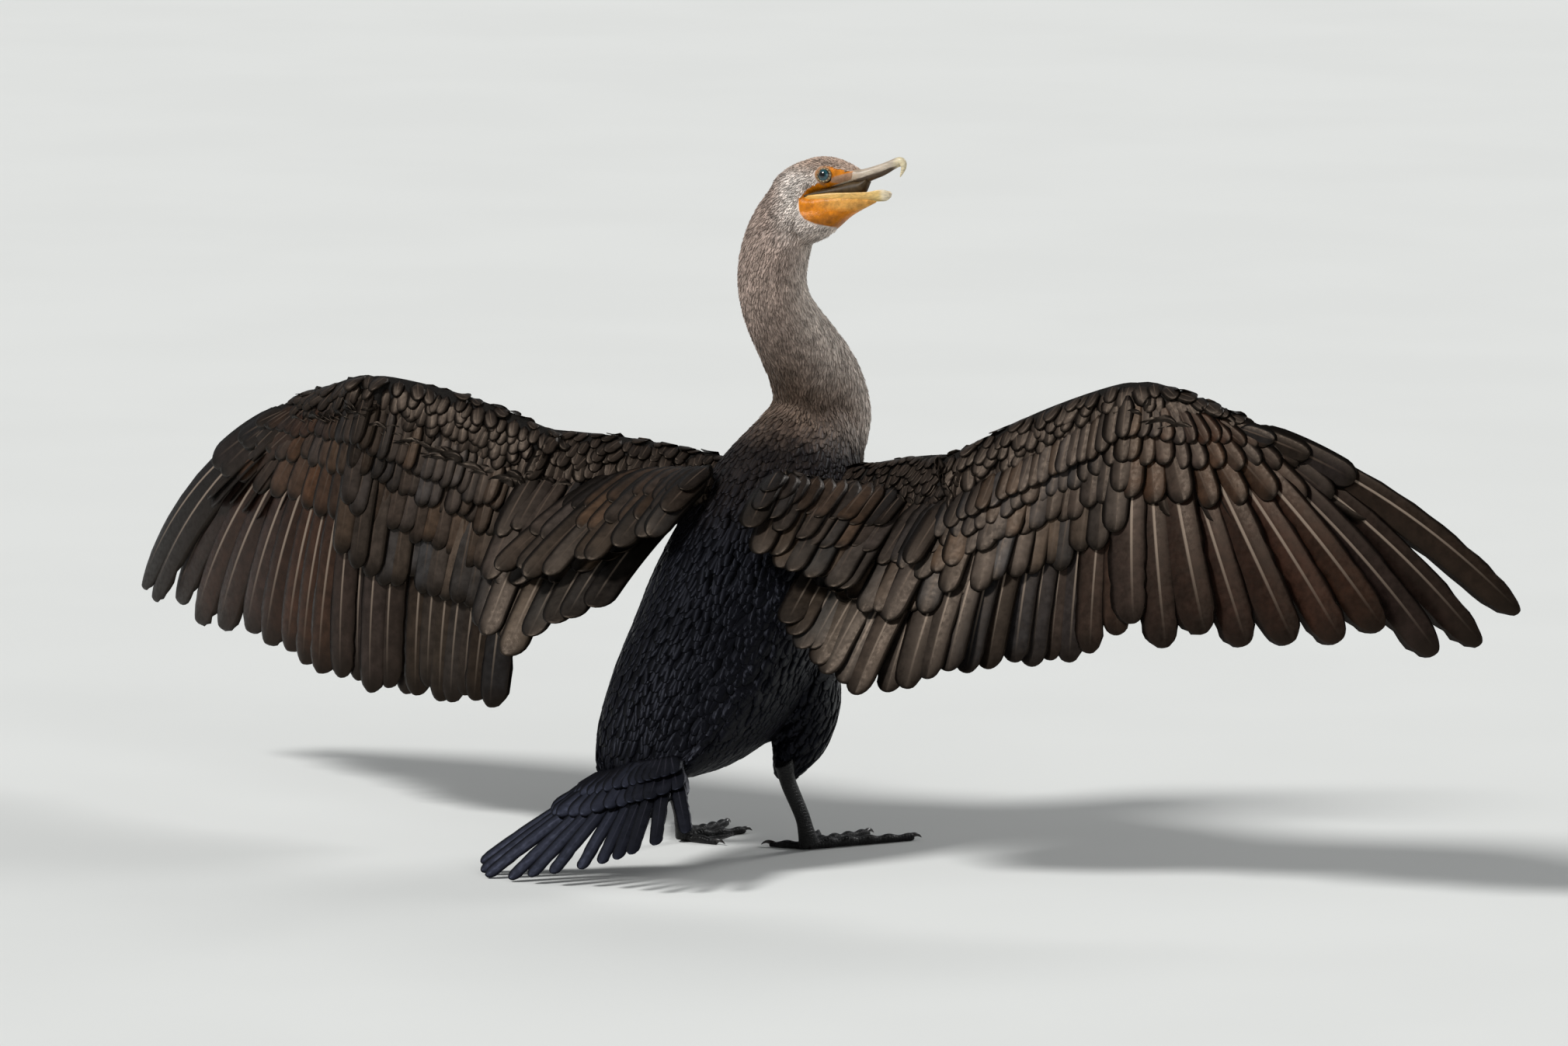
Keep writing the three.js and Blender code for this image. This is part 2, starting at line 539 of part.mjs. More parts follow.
// Wings.
function wingForms({ side, shoulder, elbow, wrist, hand, dorsal: faces, ...wing }) {
  const mix = (a, b, t) => a.clone().lerp(b, t);
  const dorsalAt = (t) => mix(faces.inner, faces.outer, THREE.MathUtils.clamp(t, 0, 1)).normalize();
  // A row of vanes from the bone ends towards the tips' curve, the outermost first. The spans say how far
  // out on the wing the row starts and ends, reach how much of the way to the tips it goes, and lift how
  // high it lies.
  function row({ count, from, to, tips, spans, reach = [1, 1], bow = 0, shape = COVERT_SHAPE, ...form }) {
    return Array.from({ length: count }, (_, i) => {
      const t = i / (count - 1);
      const dorsal = dorsalAt(THREE.MathUtils.lerp(spans[0], spans[1], t));
      const isInner = shape === FINGER_SHAPE && t >= 0.45; // only the outer half of the hand has fingers
      return vane(mix(from, to, t), along(tips, t), dorsal, {
        ...form,
        shape: isInner ? FLIGHT_SHAPE : shape,
        reach: THREE.MathUtils.lerp(reach[0], reach[1], t),
        bow: bow * (1 - t) ** 2,
        turn: side * SHINGLE,
        side,
      });
    });
  }
  // The fleshy leading edge along a run of bone places. The chord is how far it reaches fore and aft.
  function core(stations) {
    const rings = stations.map(({ place, span, chord, thick, back }, i) => {
      const before = stations[Math.max(i - 1, 0)].place;
      const run = stations[Math.min(i + 1, stations.length - 1)].place.clone().sub(before).normalize();
      const dorsal = dorsalAt(span);
      const up = dorsal.addScaledVector(run, -dorsal.dot(run)).normalize();
      const aft = run.clone().cross(up);
      if (aft.z > 0) aft.negate();
      const centre = place.clone().addScaledVector(aft, back).addScaledVector(up, 1.5);
      return oval(centre, aft, up, chord, thick, thick, 10);
    });
    return loft(rings);
  }
  const handRow = { from: hand, to: mix(wrist, hand, 0.06), tips: wing.primaryTips, spans: [1, 0.64] };
  const forearmStart = mix(wrist, elbow, 0.045);
  const forearmRow = { from: forearmStart, to: elbow, tips: wing.secondaryTips, spans: [0.6, 0.25] };
  const armEnds = { from: mix(elbow, shoulder, 0.06), to: mix(elbow, shoulder, 0.78) };
  const armRow = { ...armEnds, tips: wing.tertialTips, spans: [0.22, 0] };
  const bladeStart = at(side * SHOULDER_BLADE.x, SHOULDER_BLADE.y, SHOULDER_BLADE.z);
  const bladeEnd = at(side * BLADE_END.x, BLADE_END.y, BLADE_END.z);
  const backStart = mix(elbow, shoulder, 0.5);
  const backRow = { from: backStart, to: bladeEnd, tips: wing.scapularTips, spans: [0.1, 0] };
  return joined([
    core([
      { place: mix(wrist, hand, 0.03), span: 0.62, chord: 21, thick: 7.5, back: 2 },
      { place: mix(wrist, hand, 0.5), span: 0.8, chord: 15, thick: 6, back: 1 },
      { place: hand, span: 1, chord: 9, thick: 4.5, back: 0 },
      { place: mix(hand, wing.primaryTips[0], 0.16), span: 1, chord: 3, thick: 1.6, back: 0 },
    ]),
    core([
      { place: mix(wrist, elbow, 0.03), span: 0.62, chord: 23, thick: 7.5, back: 2 },
      { place: mix(wrist, elbow, 0.5), span: 0.42, chord: 28, thick: 8.5, back: -3 },
      { place: mix(wrist, elbow, 0.97), span: 0.26, chord: 29, thick: 8.5, back: -8 },
    ]),
    core([
      { place: mix(elbow, shoulder, 0.03), span: 0.24, chord: 29, thick: 8.5, back: -8 },
      { place: mix(elbow, shoulder, 0.4), span: 0.15, chord: 30, thick: 10, back: -9 },
      { place: mix(elbow, shoulder, 0.8), span: 0.06, chord: 30, thick: 13, back: -6 },
      { place: mix(elbow, shoulder, 1.12), span: 0, chord: 27, thick: 14, back: -4 },
    ]),
    core([
      { place: mix(elbow, shoulder, 0.7), span: 0.1, chord: 22, thick: 9, back: 2 },
      { place: bladeStart, span: 0, chord: 20, thick: 7, back: 2 },
      { place: bladeEnd, span: 0, chord: 15, thick: 5, back: 2 },
    ]),
    ...row({ ...handRow, count: PRIMARIES, outer: 9, inner: 19, shape: FINGER_SHAPE, bow: 0.06 }),
    ...row({ ...handRow, count: 7, reach: [0.4, 0.46], lift: 3.8, outer: 10, inner: 12, bow: 0.06 }),
    ...row({ ...forearmRow, count: SECONDARIES, outer: 8, inner: 12, shape: FLIGHT_SHAPE }),
    ...row({ ...forearmRow, count: 10, reach: [0.52, 0.54], lift: 3.8, outer: 10, inner: 10 }),
    ...row({ ...forearmRow, count: 9, reach: [0.3, 0.34], ahead: 0.04, lift: 7.4, outer: 10, inner: 10 }),
    ...row({ ...armRow, count: TERTIALS, outer: 11, inner: 13, shape: FLIGHT_SHAPE }),
    ...row({ ...backRow, count: SCAPULARS, outer: 11, inner: 11, lift: 7 }),
  ]);
}
for (const [name, wing] of Object.entries(WINGS)) {
  add("wing_" + name, wingForms(wing).subtract(trunkCut), FINISH.wingFeather);
}

// The frame's origin is the middle of the bird's box, on the ground.
const box = new THREE.Box3().setFromObject(bird);
const middle = box.getCenter(new THREE.Vector3());
bird.position.set(-middle.x, -middle.y, -box.min.z);

export default bird;
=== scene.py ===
"""A young double-crested cormorant drying its wings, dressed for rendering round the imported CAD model.

Lengths are worked out in millimetres in the bird's own frame (+Y the way it faces, +X its right, z = 0 the
ground, the origin midway between the heels) and turned into the model's frame in metres when a mesh is made.
"""
import math

import bmesh
import bpy
import numpy as np
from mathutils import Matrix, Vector, kdtree
from mathutils.bvhtree import BVHTree


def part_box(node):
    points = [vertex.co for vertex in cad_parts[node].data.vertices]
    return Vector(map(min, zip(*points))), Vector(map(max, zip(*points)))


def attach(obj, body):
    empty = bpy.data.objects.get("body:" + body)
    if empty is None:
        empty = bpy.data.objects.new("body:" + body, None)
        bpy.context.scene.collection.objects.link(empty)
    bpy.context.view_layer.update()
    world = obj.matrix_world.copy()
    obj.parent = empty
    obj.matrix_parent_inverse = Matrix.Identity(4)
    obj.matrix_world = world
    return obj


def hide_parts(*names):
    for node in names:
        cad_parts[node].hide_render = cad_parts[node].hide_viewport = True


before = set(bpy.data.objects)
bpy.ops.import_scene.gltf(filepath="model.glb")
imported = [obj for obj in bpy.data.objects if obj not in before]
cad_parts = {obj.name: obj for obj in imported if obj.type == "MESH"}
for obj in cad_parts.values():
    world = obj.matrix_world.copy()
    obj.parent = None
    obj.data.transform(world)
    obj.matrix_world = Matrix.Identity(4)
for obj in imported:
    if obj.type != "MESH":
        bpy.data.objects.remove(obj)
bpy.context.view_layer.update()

# Flesh: trunk, neck, skull, thighs and throat pouch, the soft parts, all under one skin with no seams. The
# skin is leather-like and lies inside the CAD solids by the depth of the coat that grows on it. It is made
# of closed oval forms that run into one another, melted into one surface and smoothed.

# The head looks back over the right shoulder, so its parts have a frame of their own: ahead of the eyes,
# out to the right cheek and up to the crown. The right eye's node tells where the bird stands in the model.
HEAD_AT = np.array([53.0, 44.0, 493.8])
YAW, PITCH, ROLL = np.radians([93.0, 3.5, 13.0])
EYE_OUT = 11.6


def turned(vector, axis, angle):
    """The vector turned about the unit axis by the right-hand rule."""
    cos, sin = math.cos(angle), math.sin(angle)
    return vector * cos + np.cross(axis, vector) * sin + axis * (axis @ vector) * (1 - cos)


LEVEL_SIDE = np.array([math.cos(YAW), -math.sin(YAW), 0.0])
AHEAD = turned(np.array([math.sin(YAW), math.cos(YAW), 0.0]), LEVEL_SIDE, PITCH)
CHEEK = turned(LEVEL_SIDE, AHEAD, -ROLL)
CROWN = np.cross(CHEEK, AHEAD)


def in_head(ahead, out, up):
    """Points of the head's frame in the bird's frame. Each argument may be an array."""
    ahead, out, up = np.broadcast_arrays(ahead, out, up)
    return HEAD_AT + ahead[..., None] * AHEAD + out[..., None] * CHEEK + up[..., None] * CROWN


def head_coordinates(points):
    """How far ahead of the eyes, out to the right and above them points of the bird's frame are."""
    local = points - HEAD_AT
    return local @ AHEAD, local @ CHEEK, local @ CROWN


eye_box = np.array(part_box("eye_right"))
BIRD_TO_MODEL = eye_box.mean(axis=0) * 1000 - in_head(0.0, EYE_OUT, 0.0)

TRUNK = [  # forward, up, half width, depth to the back and to the belly
    [-152, 72, 34, 11, 11], [-136, 86, 46, 22, 27], [-112, 102, 56, 37, 46], [-76, 124, 65, 52, 68],
    [-38, 150, 70, 61, 83], [0, 184, 73, 65, 82], [38, 222, 69, 64, 73], [72, 256, 60, 58, 60],
    [98, 284, 46, 48, 48], [113, 302, 38, 42, 42],
]
NECK = [  # place, half width and half depth
    [0, 95, 280, 38, 42], [0, 115, 304, 37, 40], [2, 110, 326, 32, 37], [4, 92, 347, 28, 34],
    [6, 70, 366, 27, 31], [6, 47, 389, 26, 28], [5, 37, 410, 26, 27], [6, 37, 432, 26, 27],
    [11, 42, 455, 24, 26], [22, 45, 478, 20, 22],
]
NECK_ACROSS = np.array([0.8, -0.6, 0.0])
SKULL = [  # ahead of the eyes, half width, crown and lower edge
    [-49, 10, -3, -20], [-44, 15.5, 3.4, -28], [-33, 19, 10.4, -33], [-20, 19.4, 14.6, -31],
    [-15, 18.8, 15.6, -16], [-8, 17.8, 16.2, -12.5], [2, 15.6, 15, -9.6], [12, 11.5, 11.6, -6.6],
    [20, 8.2, 7.8, -3.9], [24, 6.6, 6.2, -2.6],
]
POUCH = [  # ahead of the eyes, half width, upper and lower edge, the upper one inside the jaw
    [39, 2.6, -13, -18.6], [26, 6.4, -13, -23.8], [14, 9.8, -15, -29.6], [3, 12.4, -16, -38.2],
    [-8, 14.8, -17, -45.4], [-22, 16.6, -19, -50],
]
THIGH = [  # forward, up, half width and half depth
    [20, 136, 20, 40], [14, 112, 24, 44], [6, 88, 22, 37], [-6, 68, 14, 21], [-14, 56, 8, 10],
]
JAW = [  # ahead of the eyes, half width, upper and lower edge of the skin over each side of the lower jaw
    [-23, 13.5, -16, -28], [-17, 16.2, -14.8, -27.6], [-8, 15.8, -13.9, -27.4], [6, 13.0, -13.0, -25.2],
    [18, 9.6, -12.7, -22.0], [26, 7.0, -12.8, -19.6], [31, 5.0, -13.2, -18.0],
]
TAIL_ROOT = [  # place, half width and half depth of the flesh that holds the quills
    [3, -120, 96, 32, 16], [3, -132, 88, 32, 10], [3, -160, 66, 36, 8], [1, -178, 51, 38, 4],
]
TAIL_ACROSS = np.array([0.96, 0.0, 0.28])
STRIDE = 12  # the left leg stands this far behind the right one
TRUNK_COAT, NECK_COAT, HEAD_COAT = 3.4, 1.8, 0.9  # how far the skin lies inside the solids
POUCH_DOWN, TAIL_COAT = 0.3, 2.0  # the same for the down of the pouch and for the root of the tail
HIP_OUT, HOCK_UP = 44.0, 62.0  # half the distance between the thighs, and their lower end
HEAD_FOOT = 440.0  # all of the face lies higher than this
SKIN_VOXEL = 0.002  # metres, the size of the grid that melts the forms together


def unit(vectors):
    """The vectors made one long."""
    return vectors / np.maximum(np.linalg.norm(vectors, axis=-1, keepdims=True), 1e-9)


def square_to(vectors, axes):
    """The part of the vectors square to the unit axes, made one long."""
    return unit(vectors - (vectors * axes).sum(axis=-1, keepdims=True) * axes)


def curve(stations, at):
    """Rows of stations on a Catmull-Rom curve, at places from 0, the first, to 1, the last."""
    stations = np.asarray(stations, float)
    ends = [2 * stations[0] - stations[1]], [2 * stations[-1] - stations[-2]]
    held = np.concatenate([ends[0], stations, ends[1]])
    place = np.clip(np.asarray(at, float), 0, 1) * (len(stations) - 1)
    i = np.minimum(place.astype(int), len(stations) - 2)
    t = (place - i)[..., None]
    a, b, c, d = held[i], held[i + 1], held[i + 2], held[i + 3]
    return 0.5 * (2 * b + (c - a) * t + (2 * a - 5 * b + 4 * c - d) * t**2 + (3 * b - a - 3 * c + d) * t**3)


def oval_rings(centres, sides, ups, wide, high, low, around):
    """Rings of an oval section, whose lower half may be deeper than the upper one."""
    turn = np.linspace(0, 2 * math.pi, around, endpoint=False)
    rise = np.sin(turn)[None, :]
    deep = np.where(rise > 0, np.asarray(high)[:, None], np.asarray(low)[:, None]) * rise
    across = np.asarray(wide)[:, None] * np.cos(turn)[None, :]
    return centres[:, None] + across[..., None] * sides[:, None] + deep[..., None] * ups[:, None]


def loft(rings):
    """Points and faces of a skin through rings, with a fan at each end."""
    count, around, _ = rings.shape
    i, j = np.meshgrid(np.arange(count - 1), np.arange(around), indexing="ij")
    k = (j + 1) % around
    quads = np.stack([i * around + j, i * around + k, (i + 1) * around + k, (i + 1) * around + j], axis=-1)
    hubs = count * around + np.arange(2)
    ring = np.arange(around)
    after = (ring + 1) % around
    last = (count - 1) * around
    fans = [[hubs[0], b, a] for a, b in zip(ring, after)]
    fans += [[hubs[1], last + a, last + b] for a, b in zip(ring, after)]
    points = np.concatenate([rings.reshape(-1, 3), rings[[0, -1]].mean(axis=1)])
    return points, quads.reshape(-1, 4).tolist() + [[int(v) for v in fan] for fan in fans]


def limb(places, across, wide, high, low, around):
    """A closed oval tube along places."""
    runs = unit(np.gradient(places, axis=0))
    sides = square_to(np.broadcast_to(across, runs.shape), runs)
    return loft(oval_rings(places, sides, np.cross(sides, runs), wide, high, low, around))


def head_form(stations, count, around, shrink):
    """A closed oval form of the head's frame."""
    ahead, wide, top, low = curve(stations, np.linspace(0, 1, count)).T
    half = (top - low) / 2 - shrink
    centres = in_head(ahead, 0.0, (top + low) / 2)
    sides = np.broadcast_to(CHEEK, centres.shape)
    ups = np.broadcast_to(CROWN, centres.shape)
    return loft(oval_rings(centres, sides, ups, wide - shrink, half, half, around))


def join_forms(forms):
    """Points and faces of several forms as one list."""
    points, faces, start = [], [], 0
    for form_points, form_faces in forms:
        points.append(form_points)
        faces += [[v + start for v in face] for face in form_faces]
        start += len(form_points)
    return np.concatenate(points), faces


def flesh_forms():
    """The closed forms that the skin covers."""
    across = np.array([1.0, 0.0, 0.0])
    y, z, wide, back, belly = curve(TRUNK, np.linspace(0, 1, 60)).T
    wide, back, belly = wide - TRUNK_COAT, back - TRUNK_COAT, belly - TRUNK_COAT
    trunk = limb(np.stack([0 * y, y, z], 1), across, wide, back, belly, 64)
    x, y, z, wide, deep = curve(NECK, np.linspace(0, 1, 80)).T
    deep = deep - NECK_COAT
    neck = limb(np.stack([x, y, z], 1), NECK_ACROSS, wide - NECK_COAT, deep, deep, 48)
    forms = [trunk, neck, head_form(SKULL, 60, 48, HEAD_COAT)]
    forms += [head_form(POUCH, 40, 40, POUCH_DOWN), head_form(JAW, 50, 40, 0.0)]
    for side, step in ((1, 0), (-1, -STRIDE)):
        y, z, wide, deep = curve(THIGH, np.linspace(0, 1, 30)).T
        places = np.stack([side * (HIP_OUT + (z - HOCK_UP) * 0.02), y + step, z], 1)
        forms.append(limb(places, across, wide - TRUNK_COAT, deep - TRUNK_COAT, deep - TRUNK_COAT, 32))
    x, y, z, wide, deep = curve(TAIL_ROOT, np.linspace(0, 1, 24)).T
    wide, deep = wide - TAIL_COAT, deep - TAIL_COAT
    forms.append(limb(np.stack([x, y, z], 1), TAIL_ACROSS, wide, deep, deep, 40))
    return join_forms(forms)


# The line that the coat lies along, from the forehead down the neck and the back to the tail.
skull_line = in_head(np.array([26.0, 10.0, -8.0, -26.0]), 0.0, np.array([1.0, 3.0, 2.0, -6.0]))
neck_line = curve(NECK, np.linspace(1, 0, 30))[3:, :3]
trunk_line = curve(TRUNK, np.linspace(0.9, 0, 40))[:, :2]
LIE_LINE = np.concatenate([skull_line, neck_line, np.column_stack([np.zeros(40), trunk_line])])
for smoothing in range(12):
    LIE_LINE[1:-1] = (LIE_LINE[:-2] + 2 * LIE_LINE[1:-1] + LIE_LINE[2:]) / 4
LIE_RUN = unit(np.gradient(LIE_LINE, axis=0))


def nearest_on_line(points):
    """For each point, the index of the nearest place on the line that the coat lies along."""
    near = []
    for some in np.array_split(points, max(1, len(points) // 20000)):
        near.append(((some[:, None] - LIE_LINE) ** 2).sum(axis=2).argmin(axis=1))
    return np.concatenate(near)


NECK_START, TRUNK_START = len(skull_line), len(skull_line) + len(neck_line)


def smoothstep(low, high, value):
    """0 below low, 1 above high and a smooth rise between them."""
    t = np.clip((value - low) / (high - low), 0, 1)
    return t * t * (3 - 2 * t)


def bare_skin(points):
    """1 where the lores, the gape and the throat pouch are bare, 0 where feathers grow."""
    ahead, out, up = head_coordinates(points)
    edge = 0.5  # half the width of the border
    lores_top = np.interp(ahead, [0, 2.5, 6, 18.5, 26], [4, 7.4, 6.6, 3.6, 6])
    lores = smoothstep(lores_top + edge, lores_top - edge, up) * smoothstep(1.0, 2.5, ahead)
    gape_top = np.interp(ahead, [-20.5, -19, -14.5, -8.2, -4, 3], [-30, -17.3, -10.1, -6.1, -5.2, -3.8])
    gape = smoothstep(gape_top + edge, gape_top - edge, up) * smoothstep(-20, -19, ahead)
    hem_ahead, hem_up = [-19, -18.3, -13.4, -5.6, 3.2, 12, 40], [-26, -27.8, -32.6, -35.7, -36.8, -36, -34]
    hem = np.interp(ahead, hem_ahead, hem_up)
    side = np.maximum(lores * (np.abs(out) > 3), gape) * smoothstep(hem - edge, hem + edge, up)
    ring = smoothstep(7.6, 6.8, np.hypot(ahead - 0.6, up)) * (np.abs(out) > 6)
    return np.maximum(side, ring) * (ahead < 45) * (points[:, 2] > HEAD_FOOT)


def srgb(code):
    """A colour's linear red, green and blue from its hex sRGB code."""
    values = np.array([int(code[i : i + 2], 16) for i in (1, 3, 5)]) / 255
    return np.where(values <= 0.04045, values / 12.92, ((values + 0.055) / 1.055) ** 2.4)


def blend(first, last, share):
    """Colours that go from the first to the last as the share at each place goes from 0 to 1."""
    share = np.asarray(share)[..., None]
    return first * (1 - share) + last * share


def markings_and_painted_shade(points, normals):
    """The bird's colour at places of its skin or coat, with painted shade on the bare face: under the throat
    pouch and inside the mouth.

    Each zone's colour covers the one before it by a share of 0 to 1 that steps smoothly at the zone's
    border: back, mantle, breast, neck, head, and last the bare skin of the face.
    """
    ahead, _, up = head_coordinates(points)
    near = nearest_on_line(points)
    _, y, z = points.T
    throat_side = smoothstep(-0.5, 0.75, normals @ unit(np.array([0.35, 0.9, -0.1])))
    neck = blend(srgb("#a8958a"), srgb("#d2c6bc"), throat_side)
    neck = blend(neck, srgb("#6e5d51"), smoothstep(395, 330, z) * (1 - throat_side))
    cheek = blend(srgb("#e6dcd3"), srgb("#c2aa99"), smoothstep(-6, 9, up + 0.12 * ahead))
    head = blend(cheek, neck, 0.7 * smoothstep(-22, -48, ahead))
    trunk = blend(srgb("#08080b"), srgb("#211b17"), smoothstep(235, 300, z))
    breast = smoothstep(0.2, 0.85, normals @ unit(np.array([0, 0.9, -0.45])))
    trunk = blend(trunk, srgb("#a59688"), breast * smoothstep(170, 290, z))
    into_neck = smoothstep(282, 318, z + 0.25 * (y - 90)) * (near < TRUNK_START + 14)
    colour = blend(trunk, neck, into_neck)
    colour = blend(colour, head, smoothstep(-46, -26, ahead) * smoothstep(436, 474, z))
    # Painted shade: the pouch's orange is darkened by up to 45 % towards its lower side, which faces down.
    face = srgb("#e0850f") * (1 - smoothstep(-27, -34, up)[:, None] * 0.45)
    patch_low = np.interp(ahead, [3, 7.5, 18, 26], [-3.5, -0.5, 2.9, 5.0])
    buff = smoothstep(3.0, 5.0, ahead) * smoothstep(-5.4, -4.4, up)
    buff = buff * smoothstep(patch_low + 0.4, patch_low - 0.7, up)
    face = blend(face, srgb("#b09078"), buff * 0.85)
    ring = smoothstep(8.6, 7.2, np.hypot(ahead - 0.6, up)) * smoothstep(3.5, -1.0, ahead - 0.4 * up)
    face = blend(face, srgb("#96785c"), ring * 0.75)
    mouth_line = np.interp(ahead, [-15, 0, 12, 20, 24], [-12.5, -9.3, -5.4, -2.7, -1.6])
    jaw = smoothstep(-27, -22, up) * smoothstep(-12, 14, ahead) * (up < mouth_line - 2)
    face = blend(face, srgb("#e3b060"), jaw * 0.7)
    lip = smoothstep(1.7, 0.9, up - mouth_line) * smoothstep(0, 6, ahead) * (up > mouth_line - 1.5)
    face = blend(face, srgb("#d9c9b0"), lip)
    jaw_top = np.interp(ahead, [-17, 6, 20, 33], [-14.8, -13.4, -12.8, -11.8])
    # Painted shade: inside the gape, the roof of the mouth where it faces down and the floor of the mouth
    # are painted dark brown.
    roof = smoothstep(0.2, -0.8, up - mouth_line) * (up > mouth_line - 6) * (normals @ CROWN < -0.1)
    floor = smoothstep(-1.2, -0.2, up - jaw_top) * (up < mouth_line - 0.5) * (normals @ CROWN > 0.3)
    face = blend(face, srgb("#3f2b1c"), np.maximum(roof, floor) * (ahead > -14))
    return blend(colour, face, bare_skin(points))


def node(tree, kind, inputs=(), output=0, **settings):
    """Adds a shader node with its settings and gives back one of its outputs.

    Inputs are a list in the node's own order or a dictionary by name or number. Each is a value, a colour,
    or the output of another node, which is then linked.
    """
    made = tree.nodes.new("ShaderNode" + kind)
    for key, value in settings.items():
        setattr(made, key, value)
    for key, value in inputs.items() if isinstance(inputs, dict) else enumerate(inputs):
        if isinstance(value, bpy.types.NodeSocket):
            tree.links.new(value, made.inputs[key])
        elif len(getattr(value, "shape", ())) == 1 and made.inputs[key].type == "RGBA":
            made.inputs[key].default_value = (*value, 1)
        else:
            made.inputs[key].default_value = value
    return made.outputs[output]


def new_material(name):
    """An empty node material with its tree and principled shader."""
    material = bpy.data.materials.new(name)
    material.use_nodes = True
    tree = material.node_tree
    return material, tree, tree.nodes["Principled BSDF"]


def skin_material():
    """Bird skin. Bare on the face it is warm orange and half glossy, with fine pimples that catch the light.

    Between the feathers it is matt down in the colours of the coat over it.
    """
    material, tree, shader = new_material("bird_skin")
    pimple, blotch, fold = 0.91, 3.85, 2.38  # mm
    where = node(tree, "TexCoord", output="Object")
    tint = node(tree, "Attribute", output="Color", attribute_name="tint")
    bare = node(tree, "Attribute", output="Fac", attribute_name="bare")
    pimples = node(tree, "TexVoronoi", {"Vector": where, "Scale": 1000 / pimple}, feature="SMOOTH_F1")
    cloud = node(tree, "TexNoise", {"Vector": where, "Scale": 1000 / blotch, "Detail": 4.0})
    folds = node(tree, "TexNoise", {"Vector": where, "Scale": 1000 / fold, "Detail": 4.0})
    blotches = node(tree, "MapRange", [cloud, 0.3, 0.7, 0.72, 1.12], interpolation_type="SMOOTHSTEP")
    colour = node(tree, "VectorMath", {0: tint, "Scale": blotches}, operation="SCALE")
    tree.links.new(colour, shader.inputs["Base Color"])
    rough = node(tree, "MapRange", [bare, 0.0, 1.0, 0.85, 0.42], interpolation_type="SMOOTHSTEP")
    tree.links.new(rough, shader.inputs["Roughness"])
    raised = node(tree, "Math", [pimples, bare], operation="MULTIPLY")
    height = node(tree, "Math", [folds, 0.6, raised], operation="MULTIPLY_ADD")
    bump = node(tree, "Bump", {"Height": height, "Strength": 0.45, "Distance": 0.0006})
    tree.links.new(bump, shader.inputs["Normal"])
    shader.inputs["Specular IOR Level"].default_value = 0.3
    shader.inputs["Subsurface Weight"].default_value = 0.08
    shader.inputs["Subsurface Radius"].default_value = (0.004, 0.0015, 0.0008)
    return material


def mesh_object(name, points, faces, material=None, smooth=True):
    """An object of the bird's-frame points, riding on the model's body."""
    mesh = bpy.data.meshes.new(name)
    mesh.from_pydata(((np.asarray(points) + BIRD_TO_MODEL) / 1000).tolist(), [], faces)
    mesh.update()
    if smooth:
        mesh.polygons.foreach_set("use_smooth", np.ones(len(mesh.polygons), bool))
    piece = bpy.data.objects.new(name, mesh)
    bpy.context.collection.objects.link(piece)
    if material:
        mesh.materials.append(material)
    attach(piece, "root")
    return piece


def face_outwards(piece):
    """Turns each closed form of the piece so that its faces point out."""
    work = bmesh.new()
    work.from_mesh(piece.data)
    bmesh.ops.recalc_face_normals(work, faces=work.faces)
    work.to_mesh(piece.data)
    work.free()


def apply_modifier(piece, kind, **settings):
    """Adds one modifier to the piece and keeps its result as the mesh."""
    modifier = piece.modifiers.new(kind, kind)
    for key, value in settings.items():
        setattr(modifier, key, value)
    shaped = piece.evaluated_get(bpy.context.evaluated_depsgraph_get())
    mesh = bpy.data.meshes.new_from_object(shaped)
    piece.modifiers.clear()
    old, piece.data = piece.data, mesh
    bpy.data.meshes.remove(old)


def mesh_points(piece):
    """The piece's points and their normals, in the bird's frame."""
    count = len(piece.data.vertices)
    points, normals = np.empty(count * 3), np.empty(count * 3)
    piece.data.vertices.foreach_get("co", points)
    piece.data.vertex_normals.foreach_get("vector", normals)
    return points.reshape(-1, 3) * 1000 - BIRD_TO_MODEL, normals.reshape(-1, 3)


def point_attribute(piece, name, kind, values):
    """A number, vector or colour for each point of the piece."""
    field = {"FLOAT": "value", "FLOAT_VECTOR": "vector", "FLOAT_COLOR": "color"}[kind]
    if kind == "FLOAT_COLOR":
        values = np.concatenate([values, np.ones((len(values), 1))], axis=1)
    attribute = piece.data.attributes.new(name, kind, "POINT")
    attribute.data.foreach_set(field, np.ascontiguousarray(values, dtype=np.float32).ravel())


def finer_face(piece):
    """Splits the skin of the face into smaller faces, so that its markings have sharp borders."""
    points, _ = mesh_points(piece)
    ahead, _, up = head_coordinates(points)
    work = bmesh.new()
    work.from_mesh(piece.data)
    on_face = (ahead > -24) & (up > -42) & (up < 12) & (points[:, 2] > HEAD_FOOT)
    edges = [edge for edge in work.edges if all(on_face[vertex.index] for vertex in edge.verts)]
    bmesh.ops.subdivide_edges(work, edges=edges, cuts=2, use_grid_fill=True, smooth=0.0)
    work.to_mesh(piece.data)
    work.free()


flesh_points, flesh_faces = flesh_forms()
skin = mesh_object("skin", flesh_points, flesh_faces, skin_material())
face_outwards(skin)
apply_modifier(skin, "REMESH", mode="VOXEL", voxel_size=SKIN_VOXEL, use_smooth_shade=True)
apply_modifier(skin, "SMOOTH", factor=0.5, iterations=6)
finer_face(skin)
skin_points, skin_normals = mesh_points(skin)
point_attribute(skin, "tint", "FLOAT_COLOR", markings_and_painted_shade(skin_points, skin_normals))
point_attribute(skin, "bare", "FLOAT", bare_skin(skin_points))
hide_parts("torso", "neck_lower", "neck_upper", "head", "thigh_left", "thigh_right", "gular_pouch")


# Vanes: stiff feathers, each a flat web of barbs on both sides of a horny shaft, grown from a follicle.
# Every feather is a closed thin leaf with a raised shaft, made in one array for each row or tract. Each
# point carries where it lies on its feather, and each piece a map that gives every feather its own patch.
wear_random = np.random.default_rng(3)


